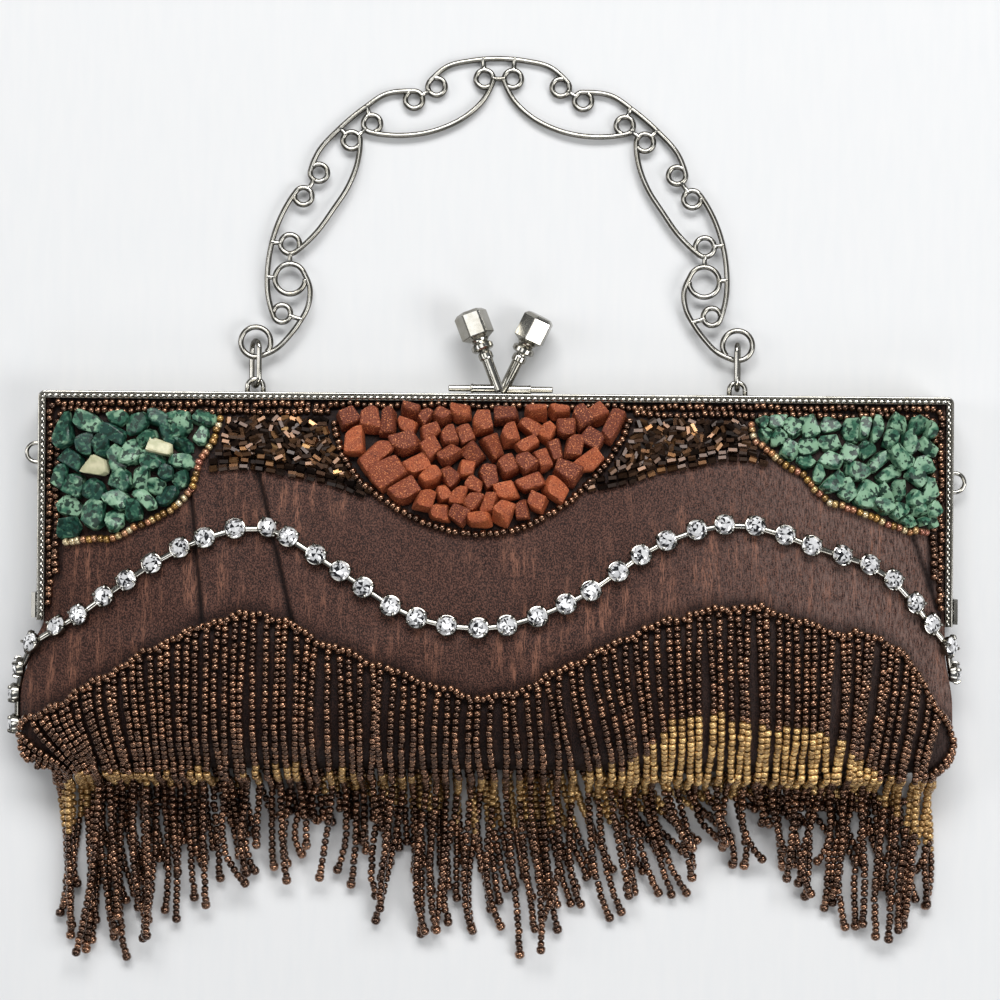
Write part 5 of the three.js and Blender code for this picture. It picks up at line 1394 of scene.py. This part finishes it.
def strand_path(head_x, head_y, edge_x, tip_x, tip_y, sway, layer):
    """A strand from the heading over the belly to the bag's bottom edge, down to the table and out to
    its tip, with a slow sway to the side, more on the table than on the bag."""
    over_y = np.linspace(head_y, min(head_y - 0.4, BELLY_END), 7)
    down = (head_y - over_y) / (head_y - BOTTOM_EDGE)
    over_x = head_x + (edge_x - head_x) * smooth_step(down) + 0.2 * sway * np.sin(np.pi * down)
    over_z = front_height(over_x, over_y) + STRAND_LIFT
    floor_y = np.linspace(DROP[-1, 0], tip_y, FLOOR_POINTS)[1:]
    layers = np.array([layer] * (len(floor_y) - 1) + [max(layer - 1, 0)])
    lying = STRAND_FLOOR + STRAND_GAP * layers
    falling = over_z[-1] - 0.8 - 2 * np.arange(len(DROP))
    drop_z = np.minimum(DROP[:, 1], np.maximum(falling, STRAND_FLOOR))
    y = np.concatenate([over_y, DROP[:, 0], floor_y])
    z = np.concatenate([over_z, np.maximum(drop_z, min(lying[0], over_z[-1] - 1)), lying])
    past = np.clip((BOTTOM_EDGE - y) / (BOTTOM_EDGE - tip_y), 0, 1)
    below_x = np.full(len(DROP) + len(floor_y), edge_x)
    x = np.concatenate([over_x, below_x]) + (tip_x - edge_x) * past**1.6
    return np.column_stack([x + sway * np.sin(np.pi * past) * past, y, z])


def seam_path(seam_x, tip_x, tip_y):
    """A strand from the bottom seam down to the table and out to its tip."""
    y = np.concatenate([SEAM_DROP[:, 0], np.linspace(SEAM_LYING_FROM, tip_y, FLOOR_POINTS)])
    z = np.concatenate([SEAM_DROP[:, 1], np.full(FLOOR_POINTS, STRAND_FLOOR)])
    past = (y[0] - y) / (y[0] - tip_y)
    return np.column_stack([seam_x + (tip_x - seam_x) * past**1.4, y, z])


def gold_look(at):
    """Amber glass with a gold lining, bead by bead from honey to brown."""
    film = noise(at, (0.8, 0.8, 0.8), 1.0)
    return {
        "Base Color": mixed(tone_of(at), (0.2, 0.092, 0.022, 1), (0.95, 0.62, 0.25, 1)),
        "Roughness": 0.09 + 0.12 * film,
    }


gold = finish_of("gold_beads", glassy | {"Metallic": 0.6, "Coat Weight": 0.6}, gold_look)
rng = np.random.default_rng(29)
across = (np.arange(FRINGE_STRANDS) + 0.5) / FRINGE_STRANDS
closer = (3 * across + 0.5 - 0.5 * np.cos(np.pi * across)) / 4
front_x = HEAD_SPAN[0] + (HEAD_SPAN[1] - HEAD_SPAN[0]) * closer
bunches = 0.3 * np.sin(2.1 * np.arange(FRINGE_STRANDS))
front_x = front_x + bunches + rng.normal(0, 0.12, FRINGE_STRANDS)
heads = np.vstack([HEADING_LEFT, np.column_stack([front_x, heading_y(front_x)]), HEADING_RIGHT])
beyond = SIDE_PITCH * np.arange(len(HEADING_LEFT))
along = np.concatenate([SIDES_FROM[0] + beyond, front_x, SIDES_FROM[1] + beyond])
count = len(heads)
edge_x, tip_x, tip_y, gold_from, gold_to = curve_through(COURSES[:, 0], COURSES[:, 1:], along).T
edge_x = edge_x + rng.normal(0, 0.3, count)
stray = np.where(rng.random(count) < 0.2, 5.0, 1.2)
tip_x = tip_x + 1.4 * np.sin(0.97 * np.arange(count)) + rng.normal(0, 1, count) * stray
tip_y = tip_y + rng.normal(0, 2.6, count) + np.where(rng.random(count) < 0.14, 8, 0)
sway = rng.normal(0, 2.2, count)
plain = (along > PLAIN_SPAN[0]) & (along < PLAIN_SPAN[1]) & (rng.random(count) < PLAIN_SHARE)
gold_to = np.where(plain, gold_from + PLAIN_END, gold_to)
share = np.linspace(-1, 1, SEAM_STRANDS)
bunched = share - 0.07 * np.sin(np.pi * (share - 0.08))
seam_x = SEAM_HALF_WIDTH * bunched + rng.normal(0, 0.7, SEAM_STRANDS)
seam_tip_x, seam_tip_y = curve_through(COURSES[:, 0], COURSES[:, 2:4], seam_x).T
in_order = STRAND_GAP * np.arange(SEAM_STRANDS)
seam_tip_x = seam_tip_x + rng.normal(0, 1.5, SEAM_STRANDS)
seam_tip_x = np.maximum.accumulate(seam_tip_x - in_order) + in_order
seam_tip_y = seam_tip_y + rng.uniform(6, 18, SEAM_STRANDS)
layer = layered(tip_x, seam_tip_x)
paths = [
    strand_path(*heads[i], edge_x[i], tip_x[i], tip_y[i], sway[i], layer[i]) for i in range(count)
]
paths += [seam_path(*ends) for ends in zip(seam_x, seam_tip_x, seam_tip_y)]
gold_from = np.concatenate([gold_from, np.full(SEAM_STRANDS, BOTTOM_EDGE)])
gold_from = gold_from + rng.normal(0, 0.6, len(paths))
gold_end, lower, middle, reach = SEAM_GOLD
seam_gold = gold_end - lower * np.exp(-(((seam_x - middle) / reach) ** 2))
gold_to = np.concatenate([gold_to, seam_gold]) + rng.normal(0, 1.1, len(paths))
bead_places, bead_axes, bead_gold, bead_lower, bead_end, bead_seam = [], [], [], [], [], []
for i, path in enumerate(paths):
    spots, directions = strung(evenly(path, 1.0), FRINGE_PITCH, rng.uniform(0.3, 1.3))
    bead_places.append(spots)
    bead_axes.append(directions)
    bead_gold.append((spots[:, 1] < gold_from[i]) & (spots[:, 1] > gold_to[i]))
    bead_lower.append(spots[:, 1] <= gold_to[i])
    bead_end.append(np.arange(len(spots)) == len(spots) - 1)
    bead_seam.append(np.full(len(spots), i >= count))
bead_places, bead_axes = np.concatenate(bead_places), np.concatenate(bead_axes)
bead_gold, bead_lower = np.concatenate(bead_gold), np.concatenate(bead_lower)
bead_end, bead_seam = np.concatenate(bead_end), np.concatenate(bead_seam)
bead_places = bead_places + rng.normal(0, 0.08, bead_places.shape)
bead_places[:, 2] = np.maximum(bead_places[:, 2], np.where(bead_end, END_BEAD_FLOOR, STRAND_FLOOR))
bead_axes = unit(bead_axes + rng.normal(0, 0.08, bead_axes.shape))
larger = np.where(bead_end, END_BEAD, 1)
radius = FRINGE_BEAD * rng.uniform(0.94, 1.05, len(bead_end)) * larger
length = BEAD_LENGTH * larger
points = threaded(BEAD_OUTLINE, BEAD_SIDES, bead_places, bead_axes, radius, length)
tone = rng.random(len(bead_end)) ** 1.7
middle, reach, fade = BRIGHT_GOLD
muted = 1 - 0.45 * smooth_step((np.abs(bead_places[:, 0] - middle) - reach) / fade)
tone = np.where(bead_gold, (0.25 + 0.75 * tone) * muted, tone)
for name, glass, slot, chosen in (
    ("fringe_upper", bronze, "bronze_beads", ~bead_gold & ~bead_lower & ~bead_seam),
    ("fringe_gold", gold, "gold_beads", bead_gold),
    ("fringe_lower", bronze, "bronze_beads", bead_lower & ~bead_seam),
    ("fringe_under", bronze, "bronze_beads", bead_seam & ~bead_gold),
):
    strands = add_beads(name, points[chosen], glass, slot, tone[chosen])
    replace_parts(strands, "fringe")

line_x = np.linspace(*HEAD_SPAN, 240)
line = np.vstack([HEADING_LEFT, np.column_stack([line_x, heading_y(line_x)]), HEADING_RIGHT])
points = bead_ropes([on_front(*evenly(line, 1.0).T, HEADING_LIFT)], HEADING_PITCH, rng)
add_beads("fringe_heading", points, bronze, "bronze_beads", 0.4 + 0.6 * rng.random(len(points)))


# Table, light and camera: a pale level table, a broad soft light beyond the handle, weaker ones
# overhead, at the sides and in front, and a camera that looks straight down.

TABLE_SIZE = 3000.0
TABLE_LEVEL = -0.05
CAMERA_PLACE = (1.1, 14.4, 655.0)
CAMERA_ROLL = 0.45
CAMERA_LENS = 97.5
CAMERA_SENSOR = 36.0
ROOM_COLOUR = (0.9, 0.95, 1.0, 1)
ROOM_STRENGTH = 0.12
LIGHTS_AIM = (0, 0, 0)
# Lights: name, place, side lengths, power in watts
LIGHTS = [
    ("high_light", (-120, 160, 1500), (900, 700), 2.6),
    ("top_light", (60, 1000, 1000), (1300, 480), 20.0),
    ("left_light", (-1200, 200, 800), (500, 700), 3.5),
    ("right_light", (950, -340, 860), (600, 700), 6.8),
    ("front_light", (0, -1150, 800), (900, 400), 2.4),
]


def table_look(at):
    """Plain pale cloth, almost even."""
    weave = noise(at, (2.0, 14.0, 2.0), 2.0)
    return {"Base Color": mixed(weave, (0.69, 0.7, 0.71, 1), (0.73, 0.73, 0.73, 1))}


half = TABLE_SIZE / 2
table_mesh = bpy.data.meshes.new("table")
flat = [(-half, -half), (half, -half), (half, half), (-half, half)]
corners = np.array([(x, y, TABLE_LEVEL) for x, y in flat])
table_mesh.from_pydata(corners * MM, [], [(0, 1, 2, 3)])
table_mesh.materials.append(finish_of("pale_cloth", {"Roughness": 0.9}, table_look))
table_top = bpy.data.objects.new("table", table_mesh)
bpy.context.collection.objects.link(table_top)

for name, place, size, power in LIGHTS:
    lamp = bpy.data.lights.new(name, "AREA")
    lamp.shape = "RECTANGLE"
    lamp.size, lamp.size_y = size[0] * MM, size[1] * MM
    lamp.energy = power
    light = bpy.data.objects.new(name, lamp)
    bpy.context.collection.objects.link(light)
    light.location = [value * MM for value in place]
    towards = Vector(LIGHTS_AIM) - Vector(place)
    light.rotation_euler = towards.to_track_quat("-Z", "Y").to_euler()
world = bpy.data.worlds.new("room")
world.use_nodes = True
background = world.node_tree.nodes["Background"]
background.inputs["Color"].default_value = ROOM_COLOUR
background.inputs["Strength"].default_value = ROOM_STRENGTH
bpy.context.scene.world = world
bpy.context.scene.view_settings.view_transform = "Standard"

camera = bpy.data.objects.new("camera", bpy.data.cameras.new("camera"))
bpy.context.collection.objects.link(camera)
camera.location = [value * MM for value in CAMERA_PLACE]
camera.rotation_euler = (0, 0, math.radians(CAMERA_ROLL))
camera.data.lens = CAMERA_LENS
camera.data.sensor_width = CAMERA_SENSOR
bpy.context.scene.camera = camera
